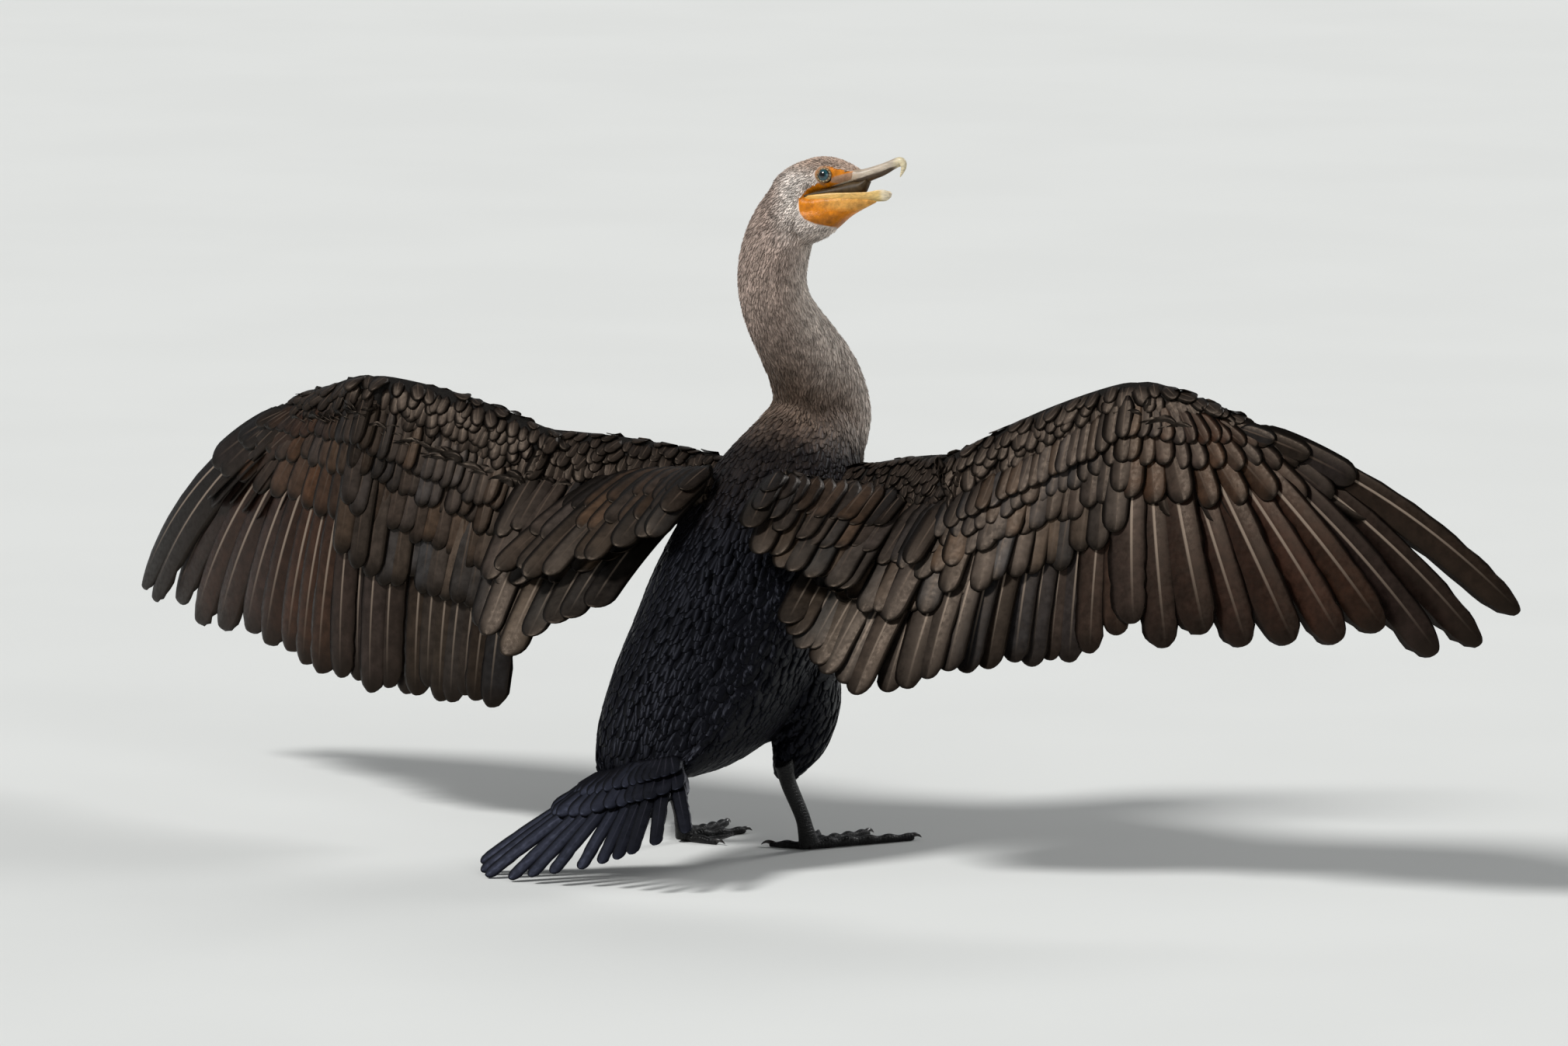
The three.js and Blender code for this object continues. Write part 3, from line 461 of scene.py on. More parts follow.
def rounded_outline(along, rise, full, tip):
    """The leaf's width along it, from 0 at the root to 1: a rise to full width, then a round tip."""
    root = 0.22 + 0.78 * smoothstep(0, rise, along)
    belly = full + (1 - full) * np.sin(math.pi * np.clip(along, 0, 1))
    beyond = np.clip((along - tip) / (1 - tip), 0, 1)
    return root * belly * np.sqrt(np.maximum(1 - beyond**2, 0.002))


def vanes(bones, tips, dorsals, *, outer, inner, reach=1.0, ahead=0.0, lift=0.0, sag=0.04, bow=0.0, turn=0.0,
          side=1, rise=0.25, full=0.9, blunt=1.1, steps=14, columns=5, thick=0.24, camber=0.14, worn=0.0):
    """Leaves along arches from bones to tips, as in the CAD source, and where each point lies on its leaf.

    The middle line is the straight line to the tip, raised by a parabola that sag scales and pushed sideways
    by one that bow scales. The leaf is as wide as its outline times outer or inner, droops from the shaft as
    camber times the square of that width, and is thickest at the shaft. It covers its arch from ahead of the
    bone to reach, and lies lift above it. Points run leaf by leaf, then along, then across.
    """
    count = len(bones)
    as_row = lambda value: np.broadcast_to(np.asarray(value, float), (count,))[:, None, None]
    length = np.linalg.norm(tips - bones, axis=1)
    run = unit(tips - bones)
    flat = square_to(dorsals, run)
    level = np.cross(flat, run) * side
    angle = np.broadcast_to(np.asarray(turn, float), (count,))[:, None]
    up = flat * np.cos(angle) + np.cross(run, flat) * np.sin(angle)
    across = np.cross(up, run) * side
    part = np.sin(np.linspace(0, math.pi / 2, steps))[None, :, None]
    width = np.linspace(1, -1, columns)[None, None, :]
    along = -as_row(ahead) + (as_row(reach) + as_row(ahead)) * part
    arch = 4 * along * (1 - along) * as_row(length)
    broad = (as_row(outer) + as_row(inner)) / 2
    tip = 1 - as_row(blunt) * broad / (as_row(length) * (as_row(reach) + as_row(ahead)))
    outline = rounded_outline(part, rise, full, np.maximum(tip, 0.4))
    out = np.where(width > 0, as_row(outer), as_row(inner)) * width * outline
    frays = wear_random.random((count, steps, columns)) ** 3 * (np.abs(width) > 0.99)
    out = out * (1 - as_row(worn) * frays)
    rise_here = as_row(sag) * arch + as_row(lift) - as_row(camber) * np.abs(out) * np.abs(width)
    bowed = as_row(bow) * arch
    middle = bones[:, None, None] + (tips - bones)[:, None, None] * along[..., None]
    middle = middle + flat[:, None, None] * rise_here[..., None]
    middle = middle + across[:, None, None] * out[..., None] + level[:, None, None] * bowed[..., None]
    inside = (np.abs(width) < 0.99) * (part > 0.001) * (part < 0.999)
    shaft = np.exp(-((np.abs(out) / 0.55) ** 2)) * (1 - 0.75 * part)
    pillow = as_row(thick) * inside * (1 - 0.5 * width**2)
    top = middle + up[:, None, None] * (pillow * (1 + 1.6 * shaft))[..., None]
    bottom = middle - up[:, None, None] * (pillow * (1 + 0.8 * shaft))[..., None]
    reached = along * as_row(length)
    lie = np.stack(np.broadcast_arrays(width, part, reached - 1.2 * np.abs(out)), axis=-1)
    return {"top": top, "bottom": bottom, "lie": lie}


def vane_faces(count, steps, columns):
    """Faces of the leaves: squares of the grid on the upper side, and a lower side that shares its rim."""
    grid = np.arange(steps * columns).reshape(steps, columns)
    under = grid.copy()
    within = (steps - 2, columns - 2)
    under[1:-1, 1:-1] = steps * columns + np.arange(within[0] * within[1]).reshape(within)
    upper = np.stack([grid[:-1, :-1], grid[:-1, 1:], grid[1:, 1:], grid[1:, :-1]], axis=-1).reshape(-1, 4)
    lower = np.stack([under[:-1, :-1], under[1:, :-1], under[1:, 1:], under[:-1, 1:]], axis=-1)
    lower = lower.reshape(-1, 4)
    quads = np.concatenate([upper, lower])
    size = steps * columns + (steps - 2) * (columns - 2)
    return (quads[None] + np.arange(count)[:, None, None] * size).reshape(-1, 4)


def feather_piece(name, leaves, tints, material, patches, side=1):
    """One object of many leaves. Each leaf has one colour of tints, and one corner and size of the map.

    A point's place in the map is its leaf's corner plus its share across and along the leaf times the size.
    """
    top, lie = leaves["top"], leaves["lie"]
    count, steps, columns, _ = top.shape
    below, lie_below = leaves["bottom"][:, 1:-1, 1:-1], lie[:, 1:-1, 1:-1]
    points = np.concatenate([top.reshape(count, -1, 3), below.reshape(count, -1, 3)], axis=1)
    lies = np.concatenate([lie.reshape(count, -1, 3), lie_below.reshape(count, -1, 3)], axis=1)
    faces = vane_faces(count, steps, columns)
    if side > 0:
        faces = faces[:, ::-1]
    per_leaf = points.shape[1]
    piece = mesh_object(name, points.reshape(-1, 3), faces.tolist(), material)
    flat_lies = lies.reshape(-1, 3)
    point_attribute(piece, "lie", "FLOAT_VECTOR", flat_lies)
    point_attribute(piece, "tint", "FLOAT_COLOR", np.repeat(tints, per_leaf, axis=0))
    corners, size = patches
    spot = np.stack([(flat_lies[:, 0] + 1) / 2, flat_lies[:, 1]], axis=1)
    places = np.repeat(corners, per_leaf, axis=0) + spot * np.asarray(size)
    loops = np.empty(len(piece.data.loops), np.int32)
    piece.data.loops.foreach_get("vertex_index", loops)
    layer = piece.data.uv_layers.new(name="OFBake")
    layer.data.foreach_set("uv", places[loops].astype(np.float32).ravel())
    return piece


def cell_patches(count):
    """A cell of the map for each leaf, tall and narrow as the leaf is."""
    columns = max(1, math.ceil(math.sqrt(count * 5)))
    rows = math.ceil(count / columns)
    index = np.arange(count)
    corners = np.stack([(index % columns + 0.05) / columns, (index // columns + 0.02) / rows], axis=1)
    return corners, (0.9 / columns, 0.96 / rows)


def vane_material(name, rim, rim_share, shaft_colour, roughness, gloss, sheen="#e8cdb4"):
    """Keratin of a feather: dark webs with a satin bloom, darker at the rim, on a paler polished shaft.

    Real barbs lie 0.4 mm apart. They are drawn twice as coarse, so that they show as a fine slanting grain.
    """
    material, tree, shader = new_material(name)
    barb, cloudy, worn_spot = 0.84, 8.33, 3.33  # mm
    where = node(tree, "TexCoord", output="Object")
    tint = node(tree, "Attribute", output="Color", attribute_name="tint")
    lie = node(tree, "Attribute", output="Vector", attribute_name="lie")
    split = node(tree, "SeparateXYZ", [lie]).node
    across = node(tree, "Math", [split.outputs["X"]], operation="ABSOLUTE")
    along = split.outputs["Y"]
    turns = node(tree, "Math", [split.outputs["Z"], 2 * math.pi / barb], operation="MULTIPLY")
    barbs = node(tree, "Math", [turns], operation="SINE")
    clouds = node(tree, "TexNoise", {"Vector": where, "Scale": 1000 / cloudy, "Detail": 4.0,
                                     "Roughness": 0.6})
    cloud = node(tree, "MapRange", [clouds, 0.3, 0.72, 0.62, 1.3], interpolation_type="SMOOTHSTEP")
    streak = node(tree, "Math", [barbs, 0.05, 1.0], operation="MULTIPLY_ADD")
    shade = node(tree, "Math", [cloud, streak], operation="MULTIPLY")
    colour = node(tree, "VectorMath", {0: tint, "Scale": shade}, operation="SCALE")
    at_side = node(tree, "MapRange", [across, 0.5, 1.0], interpolation_type="SMOOTHSTEP")
    at_tip = node(tree, "MapRange", [along, 0.86, 1.0], interpolation_type="SMOOTHSTEP")
    at_rim = node(tree, "Math", [at_side, at_tip], operation="MAXIMUM")
    rim_here = node(tree, "Math", [at_rim, rim_share], operation="MULTIPLY")
    colour = node(tree, "Mix", {0: rim_here, 6: colour, 7: srgb(rim)}, 2, data_type="RGBA")
    near_shaft = node(tree, "MapRange", [across, 0.085, 0.03], interpolation_type="SMOOTHSTEP")
    rootwards = node(tree, "MapRange", [along, 1.0, 0.5, 0.0, 0.8], interpolation_type="SMOOTHSTEP")
    on_shaft = node(tree, "Math", [near_shaft, rootwards], operation="MULTIPLY")
    colour = node(tree, "Mix", {0: on_shaft, 6: colour, 7: srgb(shaft_colour)}, 2, data_type="RGBA")
    tree.links.new(colour, shader.inputs["Base Color"])
    spots = node(tree, "TexNoise", {"Vector": where, "Scale": 1000 / worn_spot, "Detail": 3.0})
    smooth, rough = roughness - 0.07, roughness + 0.1
    worn = node(tree, "MapRange", [spots, 0.25, 0.75, smooth, rough], interpolation_type="SMOOTHSTEP")
    tree.links.new(worn, shader.inputs["Roughness"])
    bump = node(tree, "Bump", {"Height": barbs, "Strength": 0.12, "Distance": 0.00015})
    tree.links.new(bump, shader.inputs["Normal"])
    shader.inputs["Specular IOR Level"].default_value = gloss
    shader.inputs["Specular Tint"].default_value = (*srgb(sheen), 1)
    return material


# Wings: arm bones in flesh under the leading edge, with flight feathers rooted in the hand and forearm.
# Tiers of coverts overlap their roots like roof tiles, above and below, and scapulars bridge to the back.
# The tips of the key feathers are those of the CAD solids, and the others lie on the curve between them.
WINGS = {
    "right": {
        "side": 1, "shoulder": (50, 62, 248), "elbow": (181, 6, 270), "wrist": (311, 32, 350),
        "hand": (404, 21, 334),
        "primaries": [(623, 24, 221), (600, 16, 195), (572, 0, 193), (540, -14, 205), (510, -24, 196),
                      (477, -32, 191), (440, -36, 187), (408, -40, 196), (376, -42, 186), (350, -42, 196)],
        "secondaries": [(336, -42, 188), (292, -38, 166), (262, -44, 164), (232, -62, 156), (204, -78, 150),
                        (168, -84, 136)],
        "tertials": [(150, -88, 140), (120, -84, 152), (96, -80, 162), (78, -70, 178)],
        "scapulars": [(120, -56, 202), (98, -58, 204), (76, -58, 206), (58, -52, 216), (36, -46, 238)],
        "faces": [(0.12, -0.84, 0.52), (0.1, -0.95, 0.3)],
    },
    "left": {
        "side": -1, "shoulder": (-50, 62, 248), "elbow": (-189, 20, 262), "wrist": (-335, 28, 313),
        "hand": (-422, 55, 288),
        "primaries": [(-602, 122, 135), (-588, 114, 127), (-562, 104, 128), (-530, 88, 120), (-498, 70, 116),
                      (-462, 52, 124), (-434, 34, 116), (-407, 18, 108), (-384, 6, 106), (-362, -6, 102)],
        "secondaries": [(-340, -14, 98), (-306, -18, 96), (-277, -20, 98), (-250, -24, 98), (-226, -30, 92),
                        (-196, -34, 96)],
        "tertials": [(-185, -72, 150), (-161, -84, 150), (-138, -92, 149), (-106, -94, 166),
                     (-80, -84, 184)],
        "scapulars": [(-172, -58, 192), (-140, -66, 196), (-104, -66, 208), (-72, -60, 216),
                      (-46, -50, 232)],
        "faces": [(-0.05, -0.86, 0.5), (-0.42, -0.84, 0.34)],
    },
}
BLADE, BLADE_END = np.array([54.0, 22.0, 258.0]), np.array([30.0, 4.0, 270.0])
SHINGLE = math.radians(8)  # how far each vane is turned about its shaft
ARM_SHARE = 0.93  # the fleshy arm against the CAD's, which holds its small coverts too
wing_random = np.random.default_rng(7)

flight_vane = vane_material("flight_feather", "#060403", 0.85, "#8a7b6d", 0.37, 0.24)
covert_vane = vane_material("covert_feather", "#040302", 1.0, "#4a3e35", 0.38, 0.24)
under_vane = vane_material("underwing_feather", "#0a0807", 0.5, "#4a4038", 0.45, 0.2)


def arm_skin_material():
    """Down-covered skin of the arm: matt black-brown, partly the down's own colour and partly painted shade,
    so that gaps between the small coverts look deep.
    """
    material, tree, shader = new_material("wing_down_and_painted_shade")
    tuft, barbule = 2.0, 1.43  # mm
    where = node(tree, "TexCoord", output="Object")
    tufts = node(tree, "TexNoise", {"Vector": where, "Scale": 1000 / tuft, "Detail": 5.0})
    shade = node(tree, "MapRange", [tufts, 0.3, 0.7, 0.5, 1.3], interpolation_type="SMOOTHSTEP")
    # The near-black is partly painted shade in the gaps between the small coverts.
    colour = node(tree, "VectorMath", {0: tuple(srgb("#14110e")), "Scale": shade}, operation="SCALE")
    tree.links.new(colour, shader.inputs["Base Color"])
    barbules = node(tree, "TexNoise", {"Vector": where, "Scale": 1000 / barbule, "Detail": 4.0})
    bump = node(tree, "Bump", {"Height": barbules, "Strength": 0.6, "Distance": 0.0008})
    tree.links.new(bump, shader.inputs["Normal"])
    shader.inputs["Roughness"].default_value = 0.8
    shader.inputs["Specular IOR Level"].default_value = 0.15
    return material


wing_down_and_painted_shade = arm_skin_material()


def varied(colours, count, spread=0.36):
    """Colours for a row of feathers, between the given ones, each warmer or cooler and darker or paler."""
    along = curve(np.array([srgb(c) for c in colours]), np.linspace(0, 1, count))
    warmth = wing_random.uniform(-1, 1, (count, 1)) * np.array([0.22, 0.0, -0.24])
    return np.clip(along, 0, 1) * (1 + warmth) * (1 + wing_random.uniform(-spread, spread, (count, 1)))


def mix(first, last, share):
    """The place that share of the way from the first to the last."""
    return first + (last - first) * share


def dress_wing(label, wing):
    """One wing: its arm, every tier of vanes, and what the small coverts need to lie as the tiers do.

    Each row's feathers stand at equal steps from start to end, and their tips on a smooth curve through
    tips. What differs from feather to feather is drawn at random from small ranges.
    """
    side = wing["side"]
    joints = ("shoulder", "elbow", "wrist", "hand")
    shoulder, elbow, wrist, hand = (np.array(wing[joint], float) for joint in joints)
    inner_face, outer_face = np.array(wing["faces"])
    mirror = np.array([side, 1, 1])

    def face_at(spans):
        """The way the wing's upper side faces, from the body (0) to the hand (1)."""
        spans = np.clip(np.asarray(spans), 0, 1)[:, None]
        return unit(inner_face * (1 - spans) + outer_face * spans)

    def arm_form(stations):
        """An oval tube through stations: place, share of the span, half chord and thickness, shift aft."""
        places, spans, chords, thicks, backs = (np.array(column, float) for column in zip(*stations))
        steps = np.linspace(0, 1, 18)
        places = curve(places, steps)
        spans, chords, thicks, backs = curve(np.stack([spans, chords, thicks, backs], 1), steps).T
        run = unit(np.gradient(places, axis=0))
        up = square_to(face_at(spans), run)
        aft = np.cross(run, up)
        aft = aft * np.where(aft[:, 2:] > 0, -1, 1)
        centres = places + aft * backs[:, None] + up * 1.5
        chords, thicks = chords * ARM_SHARE, thicks * ARM_SHARE
        return loft(oval_rings(centres, aft, up, chords, thicks, thicks, 20))

    first_tip = np.array(wing["primaries"][0], float)
    arm_points, arm_faces = join_forms([
        arm_form([(mix(wrist, hand, -0.16), 0.6, 9, 5, 6), (mix(wrist, hand, 0.08), 0.62, 18, 7.2, 3),
                  (mix(wrist, hand, 0.5), 0.8, 15, 6, 1), (hand, 1, 9, 4.5, 0),
                  (mix(hand, first_tip, 0.16), 1, 3, 1.6, 0)]),
        arm_form([(mix(wrist, elbow, -0.1), 0.64, 9, 5, 6), (mix(wrist, elbow, 0.06), 0.6, 20, 7.4, 3),
                  (mix(wrist, elbow, 0.5), 0.42, 28, 8.5, -3),
                  (mix(wrist, elbow, 1.03), 0.26, 29, 8.5, -8)]),
        arm_form([(mix(elbow, shoulder, -0.03), 0.24, 29, 8.5, -8),
                  (mix(elbow, shoulder, 0.4), 0.15, 30, 10, -9),
                  (mix(elbow, shoulder, 0.8), 0.06, 30, 13, -6),
                  (mix(elbow, shoulder, 1.12), 0, 27, 14, -4)]),
        arm_form([(mix(elbow, shoulder, 0.7), 0.1, 22, 9, 2), (BLADE * mirror, 0, 20, 7, 2),
                  (BLADE_END * mirror, 0, 15, 5, 2)]),
    ])
    arm = mesh_object(f"arm_{label}", arm_points, arm_faces, wing_down_and_painted_shade)
    face_outwards(arm)
    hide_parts(f"wing_{label}")

    def row(name, count, start, end, tips, spans, colours, material, jitter=1.0, under=False, **form):
        """One tier of feathers. Values of form may be lists, spread evenly along the row."""
        at = np.linspace(0, 1, count)
        loose = lambda size: wing_random.uniform(-size, size, count) * jitter
        bones = mix(start, end, at[:, None])
        far = curve(np.array(tips, float), at)
        far = bones + (far - bones) * (1 + loose(0.012))[:, None]
        far = far + wing_random.normal(0, 0.8 * jitter, (count, 3))
        for key, value in form.items():
            if isinstance(value, list):
                form[key] = np.interp(at, np.linspace(0, 1, len(value)), value)
        form["reach"] = form.get("reach", 1.0) * (1 + np.minimum(loose(0.022), 0.02))
        form["outer"] = form["outer"] * (1 + loose(0.06))
        form["inner"] = form["inner"] * (1 + loose(0.06))
        faces = face_at(np.interp(at, [0, 1], spans))
        turn = side * SHINGLE * (1 + loose(0.25))
        leaves = vanes(bones, far, faces, side=side, turn=-turn if under else turn, **form)
        tints = varied(colours, count)
        piece = feather_piece(f"{name}_{label}", leaves, tints, material, cell_patches(count), side=side)

    on_hand = dict(start=hand, end=mix(wrist, hand, 0.03), tips=wing["primaries"], spans=[1, 0.64])
    on_forearm = dict(start=mix(wrist, elbow, 0.02), end=elbow, tips=wing["secondaries"], spans=[0.6, 0.25])
    on_arm = dict(start=mix(elbow, shoulder, 0.04), end=mix(elbow, shoulder, 0.8), tips=wing["tertials"],
                  spans=[0.22, 0])
    on_back = dict(start=mix(elbow, shoulder, 0.45), end=BLADE_END * mirror, tips=wing["scapulars"],
                   spans=[0.1, 0])
    brown, dark, grey = "#2a1d17", "#181412", "#332b26"

    row("primaries", 10, **on_hand, colours=["#15100e", "#291a14", "#2a1c15"], material=flight_vane,
        outer=[9, 12, 14, 14, 12], inner=[19, 24, 25, 24, 21], bow=[0.06, 0.02, 0.0], steps=24, columns=9,
        full=0.84, rise=0.3, sag=0.05, blunt=[2.6, 1.6, 1.1, 1.1, 1.1], worn=0.16)
    row("primary_coverts", 9, **on_hand, colours=["#17110f", "#3a2a20", "#35261d"], material=covert_vane,
        outer=12, inner=13, reach=[0.4, 0.46], lift=3.0, bow=[0.06, 0.02, 0], sag=0.05, steps=16, columns=7)
    row("primary_median_coverts", 11, **on_hand, colours=[dark, "#33261e", grey], material=covert_vane,
        outer=10, inner=11, reach=[0.25, 0.3], lift=5.0, bow=[0.06, 0.02, 0], sag=0.05, steps=12, jitter=1.6)
    thumb_tips = [mix(hand, np.array(tip, float), 0.36) for tip in wing["primaries"][:3]]
    row("alula", 4, hand, mix(wrist, hand, 0.3), thumb_tips, [1, 0.8], [dark, brown], covert_vane, outer=8,
        inner=10, lift=7, steps=12)
    row("secondaries", 12, **on_forearm, colours=["#2b1f19", "#25211f", "#1c1816"], material=flight_vane,
        outer=12, inner=16, steps=22, columns=9, full=0.88, sag=0.05, jitter=1.5, worn=0.12)
    row("greater_coverts", 13, **on_forearm, colours=["#2e2722", "#3a3430", "#2b2622"], material=covert_vane,
        outer=11, inner=13, reach=[0.6, 0.62], lift=3.4, sag=0.05, steps=16, columns=7, jitter=2.2)
    row("median_coverts", 15, **on_forearm, colours=["#29211c", grey, "#332921"], material=covert_vane,
        outer=11, inner=11, reach=[0.42, 0.45], lift=5.4, sag=0.05, steps=14, columns=7, jitter=2.6)
    row("lesser_coverts", 17, **on_forearm, colours=[dark, grey, dark], material=covert_vane, outer=9.5,
        inner=9.5, reach=[0.28, 0.32], lift=6.6, sag=0.05, steps=12, jitter=2.6)
    row("marginal_coverts", 19, **on_forearm, colours=[dark, grey, dark], material=covert_vane, outer=8.5,
        inner=8.5, reach=[0.19, 0.22], lift=9.4, sag=0.05, steps=12, jitter=2.8)
    row("hand_marginal_coverts", 13, **on_hand, colours=[dark, brown, grey], material=covert_vane, outer=8.5,
        inner=8.5, reach=[0.13, 0.19], lift=7.4, bow=[0.06, 0.02, 0], sag=0.05, steps=12, jitter=2.6)
    row("tertials", 8, **on_arm, colours=["#2c2622", "#352f29", "#1e1a17"], material=flight_vane, outer=13,
        inner=14, steps=20, columns=9, sag=0.05, jitter=2.4)
    row("tertial_coverts", 9, **on_arm, colours=[grey, "#39312a", dark], material=covert_vane, outer=12,
        inner=13, reach=0.68, lift=4.0, sag=0.05, steps=16, columns=7, jitter=2.8)
    row("tertial_small_coverts", 11, **on_arm, colours=[dark, grey, dark], material=covert_vane, outer=11,
        inner=11, reach=0.44, lift=7.4, sag=0.05, steps=12, jitter=2.8)
    row("scapulars", 9, **on_back, colours=["#342c26", "#2f2822", "#1c1815"], material=covert_vane, outer=12,
        inner=12, lift=7, sag=0.05, steps=14, columns=7, jitter=2.6)
    row("upper_scapulars", 10, **on_back, colours=[grey, "#382d25", dark], material=covert_vane, outer=11,
        inner=11, reach=0.68, lift=9.4, sag=0.05, steps=12, columns=7, jitter=2.8)
    row("small_scapulars", 11, **on_back, colours=[dark, "#30261f", dark], material=covert_vane, outer=10,
        inner=10, reach=0.42, ahead=0.06, lift=11, sag=0.05, steps=12, jitter=2.8)
    # Under the wing: linings that fall from the arm's lower side over the roots of the flight feathers.
    linings = [("hand", on_hand, 11), ("forearm", on_forearm, 16), ("arm", on_arm, 9)]
    for part, tract, count in linings:
        for tier, (reach, lift) in enumerate([(0.5, -2.6), (0.34, -4.6), (0.2, -6.4)]):
            row(f"lining_{part}_{tier}", count, **tract, colours=[dark, "#221d1a", dark],
                material=under_vane, outer=10, inner=11, reach=reach, ahead=0.02, lift=lift, sag=0.05,
                steps=9, camber=-0.14, under=True)
    tracts = [(on_hand, 12), (on_forearm, 14), (on_arm, 10), (on_back, 6)]
    bones, far, spans = [], [], []
    for tract, count in tracts:
        at = np.linspace(0, 1, count)
        bones.append(mix(tract["start"], tract["end"], at[:, None]))
        far.append(curve(np.array(tract["tips"], float), at))
        spans.append(np.interp(at, [0, 1], tract["spans"]))
    bones, far, spans = np.concatenate(bones), np.concatenate(far), np.concatenate(spans)
    return {"arm": arm, "face_at": face_at, "bones": bones, "runs": unit(far - bones), "spans": spans}


dressed_wings = {label: dress_wing(label, wing) for label, wing in WINGS.items()}


# Coat: contour feathers over head, neck and trunk, soft vanes that overlap down and back and shed water.
# They are small closed leaves, each lying along the skin with its tip a little raised: ever smaller ones up
# the neck and over the head, broad ones on trunk and thighs, and the small wing coverts on the arms.


def triangles_of(piece):
    """The corners, normals and areas of a piece's triangles, the area as half the cross product of sides."""
    piece.data.calc_loop_triangles()
    corners = np.empty(len(piece.data.loop_triangles) * 3, np.int32)
    piece.data.loop_triangles.foreach_get("vertices", corners)
    points, normals = mesh_points(piece)
    corners = corners.reshape(-1, 3)
    places = points[corners]
    areas = np.linalg.norm(np.cross(places[:, 1] - places[:, 0], places[:, 2] - places[:, 0]), axis=1) / 2
    return places, normals[corners], areas


def spread_roots(piece, spacing_at, random, crowd=6.0):
    """Roots on the piece no nearer to each other than the spacing at each place, with their normals.

    Places are drawn at random, crowd times more than fit, as many to an area as the spacing there asks. Each
    in turn is kept if none kept before it is nearer than the spacing.
    """
    places, normals, areas = triangles_of(piece)
    spacing = spacing_at(places.mean(axis=1), unit(normals.mean(axis=1)))
    weights = areas / spacing**2
    picks = random.choice(len(areas), int(weights.sum() * crowd), p=weights / weights.sum())
    shares = random.dirichlet((1, 1, 1), len(picks))[..., None]
    roots, facing = (places[picks] * shares).sum(axis=1), unit((normals[picks] * shares).sum(axis=1))
    nearest = kdtree.KDTree(len(roots))
    for index, root in enumerate(roots.tolist()):
        nearest.insert(root, index)
    nearest.balance()
    free, kept = np.ones(len(roots), bool), []
    for index, root in enumerate(roots.tolist()):
        if free[index]:
            kept.append(index)
            free[[hit[1] for hit in nearest.find_range(root, spacing[picks[index]])]] = False
    return roots[kept], facing[kept]


def surface_of(piece):
    """A search tree for the nearest place of the piece's surface, in the bird's frame."""
    points, _ = mesh_points(piece)
    faces = [tuple(face.vertices) for face in piece.data.polygons]
    return BVHTree.FromPolygons(points.tolist(), faces)


def lying_leaves(surface, roots, facing, runs, lengths, widths, heights, random, steps=6, columns=3,
                 full=0.9, rise=0.4, tip=0.66, thick=0.22, sunk=0.3, camber=0.12):
    """Closed leaves that follow the surface from their roots along runs.

    The middle line goes in short steps ahead and back onto the surface, so that it bends as the surface
    does. A leaf rises over it by its height times the share of its length to the power 1.3, less sunk, and
    droops at its sides by camber. Each one swings a little from its run at random.
    """
    count = len(roots)
    runs = square_to(runs, facing)
    swing = random.normal(0, 0.16, (count, 1))
    runs = runs * np.cos(swing) + np.cross(facing, runs) * np.sin(swing)
    part = np.sin(np.linspace(0, math.pi / 2, steps))
    centres, ups = np.empty((count, steps, 3)), np.empty((count, steps, 3))
    centres[:, 0], ups[:, 0] = roots, facing
    step_runs = runs.copy()
    for k in range(1, steps):
        ahead = centres[:, k - 1] + step_runs * (lengths * (part[k] - part[k - 1]))[:, None]
        found = [surface.find_nearest(place)[:2] for place in ahead.tolist()]
        centres[:, k] = [hit[0] for hit in found]
        ups[:, k] = unit(0.5 * ups[:, k - 1] + 0.5 * np.array([hit[1] for hit in found]))
        step_runs = square_to(unit(centres[:, k] - centres[:, k - 1]), ups[:, k])
    sides = unit(np.cross(unit(np.gradient(centres, axis=1)), ups))
    outline = rounded_outline(part, rise, full, tip)[None, :, None]
    width = np.linspace(1, -1, columns)[None, None, :]
    out = widths[:, None, None] / 2 * outline * width
    lift = heights[:, None, None] * part[None, :, None] ** 1.3 - sunk - camber * np.abs(out)
    middle = centres[:, :, None] + sides[:, :, None] * out[..., None] + ups[:, :, None] * lift[..., None]
    inside = (np.abs(width) < 0.99) * (part[None, :, None] > 0.001) * (part[None, :, None] < 0.999)
    shell = ups[:, :, None] * (thick * (0.6 + 0.1 * widths[:, None, None]) * inside)[..., None]
    reached = part[None, :, None] * lengths[:, None, None]
    lie = np.stack(np.broadcast_arrays(width, part[None, :, None], reached - 1.2 * np.abs(out)), axis=-1)
    return {"top": middle + shell, "bottom": middle - shell * 0.6, "lie": lie}


def skin_place(roots):
    """Each root's place on an unwrap of the skin: its turn round the lie line and its distance along it."""
    near = nearest_on_line(roots)
    run = LIE_RUN[near]
    side = square_to(np.broadcast_to([1.0, 0.3, 0.0], run.shape), run)
    up = np.cross(side, run)
    away = roots - LIE_LINE[near]
    turn = np.arctan2((away * side).sum(axis=1), (away * up).sum(axis=1))
    smooth_along = (near + ((away * run).sum(axis=1) / 8.0).clip(-0.5, 0.5)) / len(LIE_LINE)
    return np.stack([turn / (2 * math.pi) + 0.5, smooth_along], axis=1) * 0.99


NAPE_UP, NAPE_BACK = 455.0, -44.0  # the head's coat lies above the one and ahead of the other


def on_head(points):
    """Whether places lie on the head, by their height and how far ahead of the eyes they are."""
    ahead, _, _ = head_coordinates(points)
    return (points[:, 2] > NAPE_UP) & (ahead > NAPE_BACK)


def coat_spacing(points, normals):
    """Distance between roots in mm: fine on the head, wider down the neck and widest on the trunk."""
    near = nearest_on_line(points)
    trunk = np.interp(near, [TRUNK_START, TRUNK_START + 10], [2.5, 4.2])
    neck = np.interp(near, [NECK_START, NECK_START + 8, TRUNK_START], [1.35, 1.75, 2.5])
    spacing = np.where(near < TRUNK_START, neck, trunk)
    ahead, _, _ = head_coordinates(points)
    return np.where(on_head(points), np.interp(ahead, [NAPE_BACK, -20], [1.35, 1.0]), spacing)


